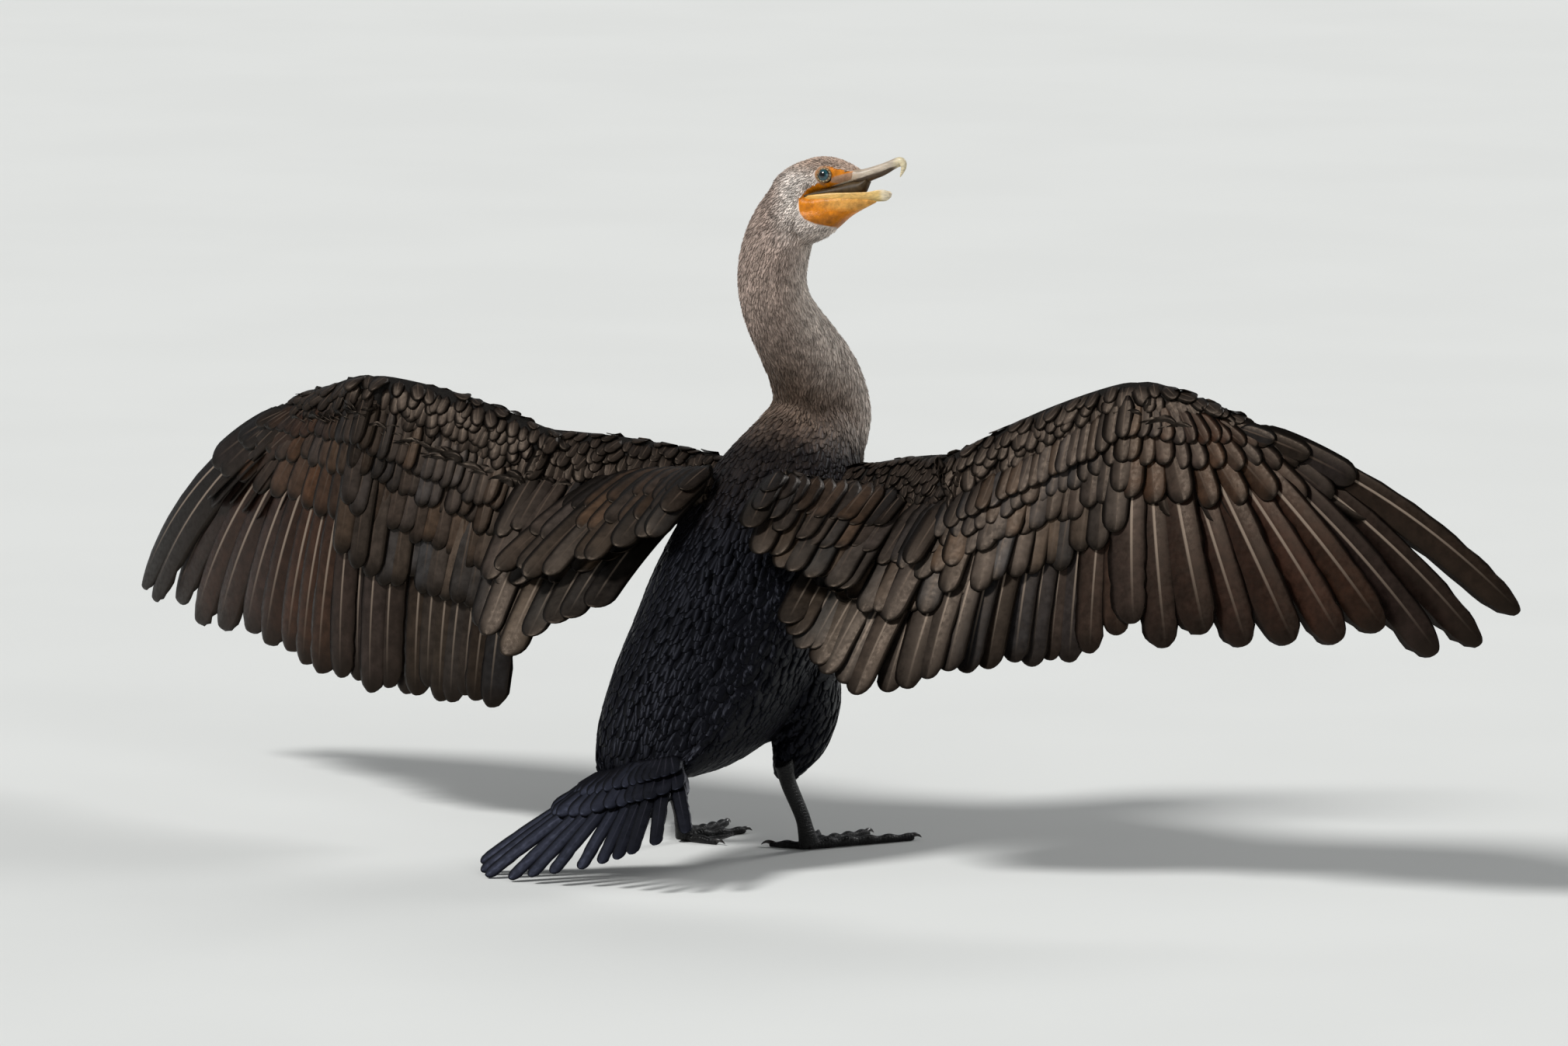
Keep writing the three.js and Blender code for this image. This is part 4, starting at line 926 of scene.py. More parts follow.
# Each zone's feathers: their length and width as multiples of the spacing, how far their tips rise as
# shares of the coat's depth, how much their tones differ, and their form. Head and neck are dull and soft,
# the trunk satin.
COATS = {
    "head": dict(
        deep=HEAD_COAT, long=3.2, broad=1.15, raised=(0.7, 1.1), uneven=(0.5, 1.5),
        material=vane_material("head_feather", "#5c4d42", 0.1, "#b0a294", 0.7, 0.2),
        form=dict(steps=5, thick=0.1, sunk=0.05),
    ),
    "neck": dict(
        deep=NECK_COAT, long=4.2, broad=1.1, raised=(0.3, 0.75), uneven=(0.7, 1.35),
        material=vane_material("neck_feather", "#43372f", 0.2, "#a39486", 0.62, 0.25),
        form=dict(steps=5, thick=0.1, sunk=0.25),
    ),
    "trunk": dict(
        deep=TRUNK_COAT, long=5.4, broad=2.3, raised=(0.1, 0.22), uneven=(0.75, 1.3),
        material=vane_material("body_feather", "#040406", 0.3, "#0b0b0f", 0.44, 0.14, "#c3c8e0"),
        form=dict(steps=6, thick=0.1, sunk=0.0, camber=0.05, rise=0.2),
    ),
}
FALLING = np.array([0.0, -0.7, -0.7])  # how the feathers turn to the back where the neck comes forward of it
MOST_LEAVES = 4800  # in one piece, which keeps it under 200,000 triangles
SKIN_PATCH = (0.003, 0.003)  # a feather's own patch of the skin's map
coat_random = np.random.default_rng(11)
skin_surface = surface_of(skin)
roots, facing = spread_roots(skin, coat_spacing, coat_random)
feathered = bare_skin(roots) < 0.25
roots, facing = roots[feathered], facing[feathered]
near = nearest_on_line(roots)
spacing = coat_spacing(roots, facing)
falls = np.interp(near, [NECK_START + 8, NECK_START + 15], [0, 1.0])[:, None]
runs = LIE_RUN[near] + FALLING * falls
head = on_head(roots)
zones = {"head": head, "neck": ~head & (near < TRUNK_START), "trunk": ~head & (near >= TRUNK_START)}
for zone, here in zones.items():
    grade = COATS[zone]
    order = np.flatnonzero(here)
    order = order[np.argsort(near[order], kind="stable")]
    for number, part in enumerate(np.array_split(order, math.ceil(len(order) / MOST_LEAVES))):
        count = len(part)
        lengths = spacing[part] * grade["long"] * coat_random.uniform(0.8, 1.2, count)
        widths = spacing[part] * grade["broad"] * coat_random.uniform(0.8, 1.2, count)
        heights = grade["deep"] * coat_random.uniform(*grade["raised"], count)
        leaves = lying_leaves(skin_surface, roots[part], facing[part], runs[part], lengths, widths, heights,
                              coat_random, **grade["form"])
        tints = markings_and_painted_shade(roots[part], facing[part]) * coat_random.uniform(*grade["uneven"], (count, 1))
        patches = (skin_place(roots[part]), SKIN_PATCH)
        coat = feather_piece(f"coat_{zone}_{number}", leaves, tints, grade["material"], patches)


# Small coverts: the lesser feathers of the arms, in no clear rows, which break the leading edge's outline.
# They are the same kind of leaves, rooted all round each arm and lying as the nearest tier does.
ARM_SPACING = 5.4


def arm_spacing(points, normals):
    """Distance between roots in mm, the same all over the arm."""
    return np.full(len(points), ARM_SPACING)


for label, wing in dressed_wings.items():
    arm_surface = surface_of(wing["arm"])
    roots, facing = spread_roots(wing["arm"], arm_spacing, coat_random)
    bones, runs, spans = wing["bones"], wing["runs"], wing["spans"]
    nearest = np.array([((bones - root) ** 2).sum(axis=1).argmin() for root in roots])
    aft = ((roots - bones[nearest]) * runs[nearest]).sum(axis=1)
    lengths = np.interp(aft, [-30, 0, 25], [14, 20, 30]) * coat_random.uniform(0.85, 1.2, len(roots))
    lengths *= np.interp(spans[nearest], [0.8, 1.0], [1, 0.6])
    widths = lengths * 0.7
    raised = lengths * coat_random.uniform(0.06, 0.2, len(roots))
    leaves = lying_leaves(arm_surface, roots, facing, runs[nearest], lengths, widths, raised, coat_random,
                          steps=7, columns=5, thick=0.18, sunk=-0.1, rise=0.12)
    upper = ((facing * wing["face_at"](spans[nearest])).sum(axis=1) > -0.2)[:, None]
    tones = np.where(upper, srgb("#221c18"), srgb("#1c1815"))
    tints = tones * coat_random.uniform(0.6, 1.5, (len(roots), 1))
    across_map = np.interp(spans[nearest], [0, 1], [0.02, 0.96])
    up_map = np.interp(aft, [-45, 45], [0.02, 0.47]) + 0.49 * upper[:, 0]
    patches = (np.stack([across_map, up_map], axis=1), SKIN_PATCH)
    small = feather_piece(f"small_coverts_{label}", leaves, tints, covert_vane, patches)


# Tail: twelve stiff quills, blue-black and glossy, rooted in a fleshy stump and spread in a shallow fan.
# They prop the bird on the ground. Two tiers of coverts cover their roots above, and one below.
TAIL_TIPS = [(-104, -196, 8), (-95, -212, 0.4), (-65, -221, 0.4), (-34, -222, 8), (-4, -214, 14),
             (22, -222, 24), (48, -226, 32), (75, -206, 46)]
TAIL_UP = unit(np.array([0.16, -0.62, 0.77]))
tail_vane = vane_material("tail_feather", "#040406", 0.6, "#26242a", 0.4, 0.2, "#aab4dc")
tail_random = np.random.default_rng(5)
GROUND_GAP = 1.2  # the lowest that a quill's middle line comes


def tail_row(name, count, reach, lift, outer, inner, colours, **form):
    """One tier of the tail's fan.

    Its feathers start at equal steps along the stump, highest in the middle. Their tips lie on a curve.
    """
    spread = np.linspace(-1, 1, count)
    bones = np.stack([3 + 24 * spread, np.full(count, -146.0), 78 + 7 * spread], axis=1)
    bones = bones + TAIL_UP * (3 * (1 - np.abs(spread)))[:, None]
    tips = curve(np.array(TAIL_TIPS, float), np.linspace(0, 1, count))
    tips = tips + tail_random.normal(0, 1.0, (count, 3))
    tips[:, 2] = np.maximum(tips[:, 2], GROUND_GAP)
    ups = np.broadcast_to(TAIL_UP, bones.shape)
    leaves = vanes(bones, tips, ups, outer=outer, inner=inner, reach=reach, worn=0.14, sag=0.02, full=0.84,
                   lift=lift + 2.5 * (1 - np.abs(spread)), turn=0.16 * spread, **form)
    tints = curve(np.array([srgb(c) for c in colours]), np.linspace(0, 1, count))
    tints = tints * (1 + tail_random.uniform(-0.2, 0.2, (count, 1)))
    piece = feather_piece(name, leaves, tints, tail_vane, cell_patches(count))
    return piece


quills = tail_row("tail_quills", 12, 1.0, 0.0, 6, 6, ["#0e0e11", "#0a0a0c", "#0d0d10"], steps=22, columns=9)
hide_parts("tail")
tail_row("tail_coverts", 13, 0.46, 3.4, 8.5, 8.5, ["#0d0d11", "#101014"], steps=12, columns=7)
tail_row("small_tail_coverts", 14, 0.28, 6.0, 8, 8, ["#0f0f13", "#0d0d10"], steps=10, columns=5)
tail_row("under_tail_coverts", 11, 0.5, -4.5, 9, 9, ["#121216", "#101014"], steps=12, columns=5)


# Legs: scaled shanks over bone and sinew, with four toes all joined by webs and short curved claws of horn.
# Shank, toes and webs have one scaled skin, melted from closed forms like the flesh. The claws grow from it.
HEEL = (49, 12, 3)  # where the right foot's toes meet
FOOT_TURN = 8.0  # degrees that the feet point outwards
TOES = {  # degrees from the foot's own direction, length and half thickness
    "outer": (24, 88, 4.2), "middle": (-2, 76, 4.2), "inner": (-30, 56, 3.9), "hind": (-104, 30, 3.4),
}
SHANK = [  # place, half width and half depth
    [47, -20, 70, 6.2, 9], [47, -17, 64, 6, 8.5], [47, -12, 52, 4.6, 7.6], [48.6, 4, 27, 4.4, 7],
    [49, 10, 13, 5.4, 8], [49, 13, 5, 6.5, 9.5],
]
SCUTE = 2.417  # mm from ring to ring of the scutes along toes and shank
FOOT_VOXEL = 0.0007  # metres


def toe_run(turn):
    """The level direction of a toe that is turned by these degrees from the foot's own direction."""
    angle = math.radians(turn + FOOT_TURN)
    return np.array([math.sin(angle), math.cos(angle), 0.0])


def foot_forms():
    """The right leg's shank, toes and webs as closed forms.

    The toes taper and swell a little at each joint. Each web is a thin sheet between two toes, from their
    root to an edge that is pulled in between their tips, with soft folds along it.
    """
    x, y, z, wide, deep = curve(SHANK, np.linspace(0, 1, 40)).T
    forms = [limb(np.stack([x, y, z], 1), (1.0, 0, 0), wide, deep, deep, 28)]
    start = np.array(HEEL, float)
    part = np.linspace(0, 1, 40)
    for turn, long, thick in TOES.values():
        run = toe_run(turn)
        knuckles = 1 + 0.13 * np.cos(part * long / 17 * 2 * math.pi)
        around = thick * knuckles * (1.15 - 0.45 * part)
        places = start + run * (part * long)[:, None]
        places[:, 2] = 0.8 * around
        side = np.array([run[1], -run[0], 0.0])
        sides, ups = np.broadcast_to(side, places.shape), np.broadcast_to([0, 0, 1.0], places.shape)
        rings = oval_rings(places, sides, ups, around, around, 0.8 * around, 20)
        forms.append(loft(rings))
    order = ["outer", "middle", "inner", "hind"]
    for first, second in zip(order, order[1:]):
        (turn_a, long_a, _), (turn_b, long_b, _) = TOES[first], TOES[second]
        across, along = np.meshgrid(np.linspace(0, 1, 24), np.linspace(0.04, 0.96, 30), indexing="ij")
        ends = toe_run(turn_a) * long_a, toe_run(turn_b) * long_b
        edge = ends[0] * (1 - across[..., None]) + ends[1] * across[..., None]
        pull = 1 - 0.52 * across * (1 - across)
        sheet = start + edge * (along * pull)[..., None]
        fold = 0.35 * np.sin(across * math.pi * 5) * along
        sheet[..., 2] = 1.1 + fold
        lower = sheet - [0, 0, 1.0]
        half = across.size  # the lower side's points come after the upper side's
        grid = np.arange(half).reshape(across.shape)
        top = np.stack([grid[:-1, :-1], grid[1:, :-1], grid[1:, 1:], grid[:-1, 1:]], axis=-1).reshape(-1, 4)
        below = top[:, ::-1] + half
        rim = np.concatenate([grid[:-1, 0], grid[-1, :-1], grid[:0:-1, -1], grid[0, :0:-1]])
        walls = np.stack([rim, rim + half, np.roll(rim, -1) + half, np.roll(rim, -1)], axis=-1)
        points = np.concatenate([sheet.reshape(-1, 3), lower.reshape(-1, 3)])
        forms.append((points, np.concatenate([top, below, walls]).tolist()))
    return join_forms(forms)


def leg_material():
    """Scaled skin of legs and webs: black, softly glossy plates with dark seams, ringed round each toe, and
    painted lighter where the plates rise and darker in the seams and grooves, as painted light and shade.

    The plates of the webs are finer on the bird, and drawn as coarse as they need to show.
    """
    material, tree, shader = new_material("scaled_leg_skin")
    plate, wear, sheen = 1.92, 11.1, 5.0  # mm
    where = node(tree, "TexCoord", output="Object")
    cells = node(tree, "TexVoronoi", {"Vector": where, "Scale": 1000 / plate}, feature="DISTANCE_TO_EDGE")
    rings = node(tree, "Attribute", output="Fac", attribute_name="scute")
    turn = node(tree, "Math", [rings, math.pi / SCUTE], operation="MULTIPLY")
    wave = node(tree, "Math", [turn], operation="SINE")
    ring = node(tree, "Math", [wave], operation="ABSOLUTE")
    seam = node(tree, "MapRange", [cells, 0.0, 0.09, 0.0, 1.0], interpolation_type="SMOOTHSTEP")
    ring_high = node(tree, "MapRange", [ring, 0.0, 0.45, 0.0, 1.0], interpolation_type="SMOOTHSTEP")
    height = node(tree, "Math", [ring_high, 0.9, seam], operation="MULTIPLY_ADD")
    # Painted light and shade: the colour is lighter where the plates and rings rise and darker in the seams
    # and grooves.
    lit = node(tree, "MapRange", [height, 0.4, 1.8, 0.55, 1.25], interpolation_type="SMOOTHSTEP")
    worn = node(tree, "TexNoise", {"Vector": where, "Scale": 1000 / wear, "Detail": 4.0})
    patchy = node(tree, "MapRange", [worn, 0.3, 0.7, 0.75, 1.3], interpolation_type="SMOOTHSTEP")
    shade = node(tree, "Math", [lit, patchy], operation="MULTIPLY")
    colour = node(tree, "VectorMath", {0: tuple(srgb("#0b0a0a")), "Scale": shade}, operation="SCALE")
    tree.links.new(colour, shader.inputs["Base Color"])
    bump = node(tree, "Bump", {"Height": height, "Strength": 0.7, "Distance": 0.0004})
    tree.links.new(bump, shader.inputs["Normal"])
    damp = node(tree, "TexNoise", {"Vector": where, "Scale": 1000 / sheen, "Detail": 3.0})
    rough = node(tree, "MapRange", [damp, 0.3, 0.7, 0.32, 0.5], interpolation_type="SMOOTHSTEP")
    tree.links.new(rough, shader.inputs["Roughness"])
    shader.inputs["Specular IOR Level"].default_value = 0.22
    return material


def claw_material():
    """Claw horn: smooth black-brown keratin with paler streaks, and a sharper shine than the skin."""
    material, tree, shader = new_material("claw_horn")
    streak = 2.5  # mm
    where = node(tree, "TexCoord", output="Object")
    grown = node(tree, "TexNoise", {"Vector": where, "Scale": 1000 / streak, "Detail": 3.0})
    streaks = node(tree, "MapRange", [grown, 0.3, 0.7, 0.7, 1.5], interpolation_type="SMOOTHSTEP")
    colour = node(tree, "VectorMath", {0: tuple(srgb("#1c1815")), "Scale": streaks}, operation="SCALE")
    tree.links.new(colour, shader.inputs["Base Color"])
    shader.inputs["Roughness"].default_value = 0.28
    return material


leg_skin, claw_horn = leg_material(), claw_material()
for label, side, step in (("right", 1, 0), ("left", -1, -STRIDE)):
    place = lambda points: np.asarray(points) * [side, 1, 1] + [0, step, 0]
    points, faces = foot_forms()
    foot = mesh_object(f"leg_{label}", place(points), faces, leg_skin)
    face_outwards(foot)
    apply_modifier(foot, "REMESH", mode="VOXEL", voxel_size=FOOT_VOXEL, use_smooth_shade=True)
    apply_modifier(foot, "SMOOTH", factor=0.5, iterations=2)
    points, _ = mesh_points(foot)
    local = (points - [0, step, 0]) * [side, 1, 1] - np.array(HEEL)
    runs = [toe_run(turn) for turn, _, _ in TOES.values()]
    offs = np.stack([np.abs(local[:, 0] * run[1] - local[:, 1] * run[0]) for run in runs])
    offs = offs + 50 * np.stack([local @ run < 0 for run in runs])  # behind the heel is no toe
    along = np.stack([local @ run for run in runs])
    nearest = offs.argmin(axis=0)
    on_toe = offs.min(axis=0) < 5.0
    scute = np.where(on_toe, np.take_along_axis(along, nearest[None], axis=0)[0], 0.0)
    scute = np.where(local[:, 2] > 9, local[:, 2], scute)
    point_attribute(foot, "scute", "FLOAT", scute)
    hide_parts(f"foot_{label}", f"shank_{label}")
    claw_forms = []
    for turn, long, thick in TOES.values():
        run, part = toe_run(turn), np.linspace(0, 1, 14)
        reached = long - 3 + part * 10.5
        rise = thick * 0.62 + 2.4 * np.sin(part * math.pi * 0.75) - 2.6 * part**2
        spine = np.array(HEEL) * [1, 1, 0] + run * reached[:, None] + np.array([0, 0, 1.0]) * rise[:, None]
        around = thick * 0.52 * (1 - part) ** 0.75 + 0.12
        spine[:, 2] = np.maximum(spine[:, 2], around + 0.2)
        across = (run[1] * side, -run[0], 0.0)
        claw_forms.append(limb(place(spine), across, around, around * 1.2, around, 14))
    points, faces = join_forms(claw_forms)
    claws = mesh_object(f"claws_{label}", points, faces, claw_horn)
    face_outwards(claws)


# Bill: two halves of horn over bone, the upper one long with a strong hook, the lower one a slim trough.
# Cutting edges of horn run along both, and the roof of the mouth shows under the upper one.
UPPER = [  # ahead of the eyes, middle height, half width and half height
    [14, 2.0, 7.2, 4.2], [19, 1.9, 7.0, 4.7], [24.3, 1.85, 6.3, 4.3], [33, 4.35, 5.0, 3.6],
    [44, 7.9, 4.0, 3.3], [51, 10.5, 3.7, 3.3], [55, 11.7, 3.5, 3.5], [57.6, 11.6, 3.1, 3.2],
    [59.2, 9.8, 2.5, 2.6], [59.6, 7.4, 1.9, 2.0], [59.0, 4.8, 1.3, 1.4], [57.9, 2.2, 0.7, 0.8],
    [57.3, 0.6, 0.25, 0.3],
]
LOWER = [  # ahead of the eyes, half width, top and lower edge
    [-17, 13.8, -15.4, -26], [-8, 14.2, -14.4, -26], [6, 12.6, -12.9, -24.2], [20, 9.7, -12.2, -21],
    [33, 6.0, -11.2, -18], [41, 4.1, -9.6, -17.4], [46.5, 3.4, -9.4, -17], [50, 1.8, -11.2, -14.6],
]
TROUGH = [5.0, 5.4, 5.4, 4.6, 3.4, 2.2, 1.2, 0.3]  # how deep the lower half is hollowed


def head_rings(ahead, up, wide, high, low, around):
    """Oval rings across a path in the middle plane of the head's frame, square to the path."""
    centres = in_head(ahead, 0.0, up)
    run = unit(np.gradient(centres, axis=0))
    side = np.broadcast_to(CHEEK, centres.shape)
    return oval_rings(centres, side, np.cross(side, run), wide, high, low, around)


def bill_material():
    """Horn of the bill: worn keratin, satin, with fibres along it and a little light in its thin edges.

    The fibres are stretched eight times along the bill, by the share of a fibre's width to its length.
    """
    material, tree, shader = new_material("bill_keratin")
    fibre_apart, fibre_share = 1.11, 0.12  # mm, and its width against its length
    tint = node(tree, "Attribute", output="Color", attribute_name="tint")
    grain = node(tree, "Attribute", output="Vector", attribute_name="grain")
    across = node(tree, "SeparateXYZ", [grain]).node.outputs
    along = node(tree, "Math", [across["X"], fibre_share], operation="MULTIPLY")
    stretched = node(tree, "CombineXYZ", [along, across["Y"], across["Z"]])
    fibre = node(tree, "TexNoise", {"Vector": stretched, "Scale": 1 / fibre_apart, "Detail": 5.0,
                                    "Roughness": 0.62})
    shade = node(tree, "MapRange", [fibre, 0.3, 0.7, 0.74, 1.2], interpolation_type="SMOOTHSTEP")
    colour = node(tree, "VectorMath", {0: tint, "Scale": shade}, operation="SCALE")
    tree.links.new(colour, shader.inputs["Base Color"])
    rough = node(tree, "MapRange", [fibre, 0.3, 0.7, 0.5, 0.34], interpolation_type="SMOOTHSTEP")
    tree.links.new(rough, shader.inputs["Roughness"])
    bump = node(tree, "Bump", {"Height": fibre, "Strength": 0.4, "Distance": 0.0003})
    tree.links.new(bump, shader.inputs["Normal"])
    shader.inputs["Subsurface Weight"].default_value = 0.1
    shader.inputs["Subsurface Radius"].default_value = (0.002, 0.001, 0.0006)
    return material


bill_horn = bill_material()
ahead, up, wide, half = curve(UPPER, np.linspace(0, 1, 110)).T
rings = head_rings(ahead, up, wide, half, half, 48)
turn = np.linspace(0, 2 * math.pi, 48, endpoint=False)
# Below the cutting edges the roof of the mouth bulges down, and tapers off towards the hook.
squared = np.clip(-np.sin(turn), 0, 1)
bulge = smoothstep(58, 40, ahead)[:, None] * (squared**3 * 2.3 + (squared > 0.3) * 0.2)[None, :]
rings = rings - bulge[..., None] * CROWN
# A groove runs along each side from the nostril to the hook.
GROOVE_AT, GROOVE_BROAD, GROOVE_DEEP = 0.62, 0.13, 0.42  # radians above the side, radians and mm
groove = np.exp(-(((turn - GROOVE_AT) / GROOVE_BROAD) ** 2))
groove = groove + np.exp(-(((turn - (math.pi - GROOVE_AT)) / GROOVE_BROAD) ** 2))
groove = groove[None, :] * (smoothstep(22, 28, ahead) * smoothstep(57, 50, ahead))[:, None] * GROOVE_DEEP
outward = unit(rings - rings.mean(axis=1, keepdims=True))
rings = rings - outward * groove[..., None]
upper_points, upper_faces = loft(rings)
upper_bill = mesh_object("bill_top", upper_points, upper_faces, bill_horn)
face_outwards(upper_bill)
a, o, u = head_coordinates(upper_points)
ridge = smoothstep(1.0, 3.6, u - np.interp(a, [15, 24, 44, 55], [2.2, 1.8, 7.9, 11.7]))
hooked = smoothstep(50, 57, a)
base = smoothstep(30, 20, a)
edge_height = np.interp(a, [15, 20, 24.6, 32, 43.8, 50, 55], [-4.0, -2.4, -1.2, 1.2, 4.9, 7.2, 8.4])
# Painted shade: below the cutting edge, the upper bill is painted dark brown over the roof of the mouth.
under = smoothstep(0.3, -0.3, u - edge_height) * (1 - hooked)
tint = blend(srgb("#c6b7a4"), srgb("#8a7460"), ridge * 0.55)
tint = blend(tint, srgb("#a98a68"), base * 0.35)
tint = blend(tint, srgb("#d9cba8"), hooked)
tint = blend(tint, srgb("#4d3b28"), under)
point_attribute(upper_bill, "tint", "FLOAT_COLOR", tint)
point_attribute(upper_bill, "grain", "FLOAT_VECTOR", np.stack([a, o, u], axis=1))
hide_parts("bill_upper")

part = np.linspace(0, 1, 90)
ahead, wide, top, low = curve(LOWER, part).T
trough = np.interp(part, np.linspace(0, 1, len(TROUGH)), TROUGH)
angle = np.linspace(math.pi, 2 * math.pi, 26)  # round the outside from the left rim to the right one
outer = np.stack([np.cos(angle), np.sin(angle)], axis=1)
inner = outer[::-1]
wall = np.minimum(1.9, wide * 0.42)
outside = np.stack([wide[:, None] * outer[:, 0], top[:, None] + (top - low)[:, None] * outer[:, 1]], axis=-1)
inside = np.stack([(wide - wall)[:, None] * inner[:, 0], top[:, None] + trough[:, None] * inner[:, 1]],
                  axis=-1)
section = np.concatenate([outside, inside], axis=1)
rings = in_head(ahead[:, None], section[..., 0], section[..., 1])
lower_points, lower_faces = loft(rings)
lower_bill = mesh_object("bill_bottom", lower_points, lower_faces, bill_horn)
face_outwards(lower_bill)
a, o, u = head_coordinates(lower_points)
stations, half_wide, top_edge = np.array(LOWER)[:, :3].T
within = np.concatenate([np.tile(np.arange(2 * len(angle)) >= len(angle), len(part)), [False, False]])
mouth_side = (within & (np.abs(o) < np.interp(a, stations, half_wide) - 1.6))[:, None]
tint = blend(srgb("#e6ac4c"), srgb("#d8bd7c"), smoothstep(24, 44, a))
edge = smoothstep(-6.0, -2.0, u - np.interp(a, stations, top_edge)) * smoothstep(-14, 4, a)
tint = blend(tint, srgb("#e6c078"), edge * 0.6)
tint = blend(tint, srgb("#e0d0b0"), smoothstep(41, 46, a))
# Painted shade: the inside of the trough, within the mouth, is painted dark brown.
tint = np.where(mouth_side, srgb("#6b3d22"), tint)
point_attribute(lower_bill, "tint", "FLOAT_COLOR", tint)
point_attribute(lower_bill, "grain", "FLOAT_VECTOR", np.stack([a, o, u], axis=1))
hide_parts("bill_lower")


# Mouth: the floor of the throat behind the lower half of the bill, soft wet flesh that joins jaw and palate.
# It is one closed form that fills the gape up to the skin, so that the open bill shows a lined mouth.


def mouth_material():
    """Mouth lining: wet flesh in the shade of the bill, brown with faint blotches and a soft shine."""
    material, tree, shader = new_material("mouth_lining")
    blotch = 3.33  # mm
    where = node(tree, "TexCoord", output="Object")
    cloud = node(tree, "TexNoise", {"Vector": where, "Scale": 1000 / blotch, "Detail": 4.0})
    shade = node(tree, "MapRange", [cloud, 0.3, 0.7, 0.7, 1.25], interpolation_type="SMOOTHSTEP")
    colour = node(tree, "VectorMath", {0: tuple(srgb("#48371f")), "Scale": shade}, operation="SCALE")
    tree.links.new(colour, shader.inputs["Base Color"])
    shader.inputs["Roughness"].default_value = 0.5
    shader.inputs["Specular IOR Level"].default_value = 0.25
    return material


part = np.linspace(0, 1, 40)
floor_ahead = -16 + 46 * part
floor_low = np.interp(floor_ahead, [-16, 6, 20, 24, 27, 30], [-18, -17, -15.5, -13, -8.5, -3.6])
floor_high = np.interp(floor_ahead, [-16, -8, 0, 12, 20, 25, 30], [-13, -10, -7.6, -4.2, -2.0, -1.5, -0.6])
floor_wide = np.interp(floor_ahead, [-16, -8, 6, 20, 25, 30], [14.6, 13.6, 10.8, 6.8, 5.4, 3.4])
half = (floor_high - floor_low) / 2
points, faces = loft(head_rings(floor_ahead, (floor_high + floor_low) / 2, floor_wide, half, half, 32))
mouth = mesh_object("mouth_lining", points, faces, mouth_material())
face_outwards(mouth)


# Eyes: wet balls with a turquoise iris and a black pupil, each set in its socket behind a ring of lid.
# The lid is a soft fold of skin, brown with a row of pale buff beads, thickest towards the bill.
EYE_RADIUS, LID_RADIUS, LID_THICK, BEADS = 5.6, 4.75, 0.5, 13  # mm, and beads in each lid


def eye_material():
    """A wet eye: its colours lie under a clear layer of tears, which gives one sharp small highlight."""
    material, tree, shader = new_material("wet_eye")
    tint = node(tree, "Attribute", output="Color", attribute_name="tint")
    tree.links.new(tint, shader.inputs["Base Color"])
    shader.inputs["Roughness"].default_value = 0.08
    shader.inputs["Coat Weight"].default_value = 1.0
    shader.inputs["Coat Roughness"].default_value = 0.02
    return material


def lid_material():
    """Eyelid skin: soft, finely wrinkled and half matt, so that its beads stand out from the wet eye."""
    material, tree, shader = new_material("eyelid_skin")
    wrinkle_apart = 1.11  # mm
    tint = node(tree, "Attribute", output="Color", attribute_name="tint")
    where = node(tree, "TexCoord", output="Object")
    folds = node(tree, "TexNoise", {"Vector": where, "Scale": 1000 / wrinkle_apart, "Detail": 4.0})
    shade = node(tree, "MapRange", [folds, 0.3, 0.7, 0.8, 1.15], interpolation_type="SMOOTHSTEP")
    colour = node(tree, "VectorMath", {0: tint, "Scale": shade}, operation="SCALE")
    tree.links.new(colour, shader.inputs["Base Color"])
    shader.inputs["Roughness"].default_value = 0.42
    return material


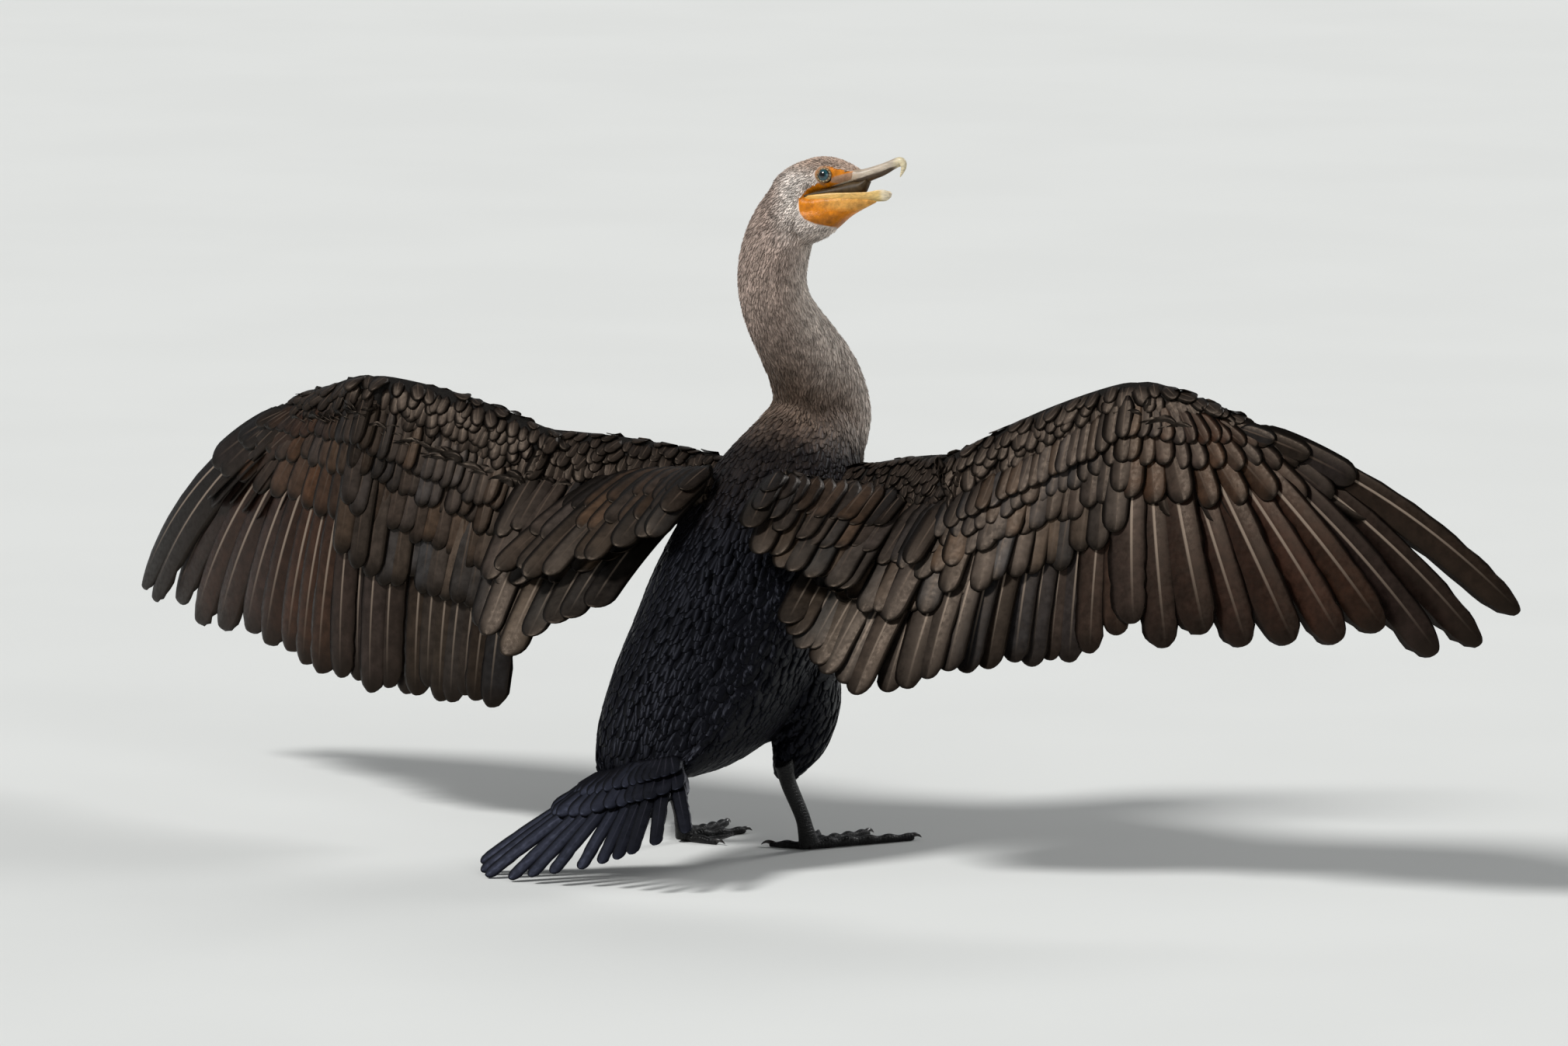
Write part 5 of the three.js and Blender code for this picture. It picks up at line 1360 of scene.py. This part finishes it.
wet_eye, lid_skin = eye_material(), lid_material()
eye_random = np.random.default_rng(3)
threads = eye_random.uniform(0.75, 1.2, 96)
for label, side in (("right", 1), ("left", -1)):
    polar, turn = np.meshgrid(np.linspace(0.01, math.pi - 0.01, 72),
                              np.linspace(0, 2 * math.pi, len(threads), endpoint=False), indexing="ij")
    flat = EYE_RADIUS * np.sin(polar)
    rings = in_head(flat * np.cos(turn), side * (EYE_OUT + EYE_RADIUS * np.cos(polar)), flat * np.sin(turn))
    points, faces = loft(rings)
    eye = mesh_object(f"eyeball_{label}", points, faces, wet_eye)
    face_outwards(eye)
    degrees = np.degrees(polar)[..., None]  # from the middle of the pupil
    iris = srgb("#08424a") * threads[None, :, None] * (0.7 + 0.7 * smoothstep(26, 42, degrees))
    in_iris, past_pupil = smoothstep(50, 45, degrees), smoothstep(23, 27, degrees)
    tint = (iris * in_iris + srgb("#08191b") * (1 - in_iris)) * past_pupil
    tint = np.concatenate([tint.reshape(-1, 3), tint[0, :1], tint[-1, :1]])
    point_attribute(eye, "tint", "FLOAT_COLOR", tint)
    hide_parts(f"eye_{label}")
    around, section = 132, 18
    round_eye, round_lid = np.meshgrid(np.linspace(0, 2 * math.pi, around, endpoint=False),
                                       np.linspace(0, 2 * math.pi, section, endpoint=False), indexing="ij")
    beads = np.clip(np.cos(round_eye * BEADS), 0, 1) * np.exp(-(((round_lid - 1.3) / 0.55) ** 2))
    wrinkle = 0.08 * np.sin(round_lid * 5)
    thick = LID_THICK * (1 + 0.3 * beads + wrinkle + 1.1 * np.clip(np.cos(round_lid), 0, 1))
    radius = LID_RADIUS + thick * np.cos(round_lid)
    # The cheek narrows towards the bill, and the lid leans with it.
    lean = np.interp(radius * np.cos(round_eye), [-6, 0, 6], [0.6, 0.0, -1.3])
    swell = LID_THICK * np.sin(round_lid) * (1 + 0.3 * beads)
    proud = side * (EYE_OUT + 3.35 + lean + swell - 0.25 * (radius - 5))
    lid_points = in_head(0.3 + radius * 1.04 * np.cos(round_eye), proud, radius * 0.96 * np.sin(round_eye))
    corners = np.arange(around * section).reshape(around, section)
    next_along, next_round = np.roll(corners, -1, axis=0), np.roll(corners, -1, axis=1)
    faces = np.stack([corners, next_along, np.roll(next_along, -1, axis=1), next_round], axis=-1)
    lid = mesh_object(f"eyelid_{label}", lid_points.reshape(-1, 3), faces.reshape(-1, 4).tolist(), lid_skin)
    face_outwards(lid)
    spots = beads.reshape(-1)
    point_attribute(lid, "tint", "FLOAT_COLOR", blend(srgb("#6d5232"), srgb("#bdb68c"), spots))


# Studio: a sheet of seamless paper on the ground, three soft suns and a plain sky, none of them on the bird.
# The camera looks from the photograph's angle, and the bird stands where it stands in the picture.
AZIMUTH, ELEVATION = math.radians(30), math.radians(8)
CAMERA_FAR = 10000.0  # mm, so the perspective is as flat as the long lens made it
PICTURE_WIDE, PICTURE_HIGH = 2019, 1347  # pixels
ORIGIN_ACROSS, ORIGIN_DOWN = 955, 1090  # the pixel where the bird's origin stands
PIXELS_PER_MM = 1.75  # in the bird's plane
SENSOR = 36.0  # mm
RIGHT = np.array([math.cos(AZIMUTH), math.sin(AZIMUTH), 0.0])
TOWARDS = np.array([math.sin(AZIMUTH) * math.cos(ELEVATION), -math.cos(AZIMUTH) * math.cos(ELEVATION),
                    math.sin(ELEVATION)])
OVER = np.cross(TOWARDS, RIGHT)
AIM = RIGHT * (PICTURE_WIDE / 2 - ORIGIN_ACROSS) / PIXELS_PER_MM  # the place at the picture's centre
AIM = AIM + OVER * (ORIGIN_DOWN - PICTURE_HIGH / 2) / PIXELS_PER_MM


def to_model(point):
    """A point of the bird's frame in the model's frame, in metres."""
    return Vector(((point + BIRD_TO_MODEL) / 1000).tolist())


def aimed(thing, place, target):
    """Puts a light or camera at a place of the bird's frame, facing the target."""
    thing.location = to_model(place)
    thing.rotation_euler = (to_model(target) - thing.location).to_track_quat("-Z", "Y").to_euler()


camera = bpy.data.objects.new("camera", bpy.data.cameras.new("camera"))
bpy.context.collection.objects.link(camera)
camera.data.sensor_width = SENSOR
camera.data.lens = SENSOR * CAMERA_FAR * PIXELS_PER_MM / PICTURE_WIDE
camera.data.clip_end = 60
aimed(camera, AIM + TOWARDS * CAMERA_FAR, AIM)
bpy.context.scene.camera = camera

for name, place, strength, soft in (
    ("key_light", (-1100, -1500, 2300), 2.6, 14),
    ("fill_light", (1900, -1300, 900), 0.45, 40),
    ("rim_light", (700, 1900, 1500), 0.9, 20),
):
    lamp = bpy.data.lights.new(name, "SUN")
    lamp.energy = strength
    lamp.angle = math.radians(soft)
    light = bpy.data.objects.new(name, lamp)
    bpy.context.collection.objects.link(light)
    aimed(light, np.array(place, float), np.array([0, 20, 220.0]))


def paper_material():
    """Seamless paper: matt and pale, its tone in broad faint clouds, so that it shows no edge or pattern."""
    material, tree, shader = new_material("seamless_paper")
    cloud_apart = 333.0  # mm
    where = node(tree, "TexCoord", output="Object")
    clouds = node(tree, "TexNoise", {"Vector": where, "Scale": 1000 / cloud_apart, "Detail": 2.0})
    shade = node(tree, "MapRange", [clouds, 0.3, 0.7, 0.985, 1.01], interpolation_type="SMOOTHSTEP")
    colour = node(tree, "VectorMath", {0: tuple(srgb("#dfe0dd")), "Scale": shade}, operation="SCALE")
    tree.links.new(colour, shader.inputs["Base Color"])
    shader.inputs["Roughness"].default_value = 0.9
    return material


REACH = 6000
floor_points = [(-REACH, -REACH, 0), (REACH, -REACH, 0), (REACH, REACH, 0), (-REACH, REACH, 0)]
floor = mesh_object("floor", floor_points, [[0, 1, 2, 3]], paper_material(), smooth=False)

world = bpy.data.worlds.new("studio")
world.use_nodes = True
world.node_tree.nodes["Background"].inputs["Color"].default_value = (*srgb("#e4e8ec"), 1)
world.node_tree.nodes["Background"].inputs["Strength"].default_value = 0.27
bpy.context.scene.world = world
bpy.context.scene.view_settings.view_transform = "Standard"
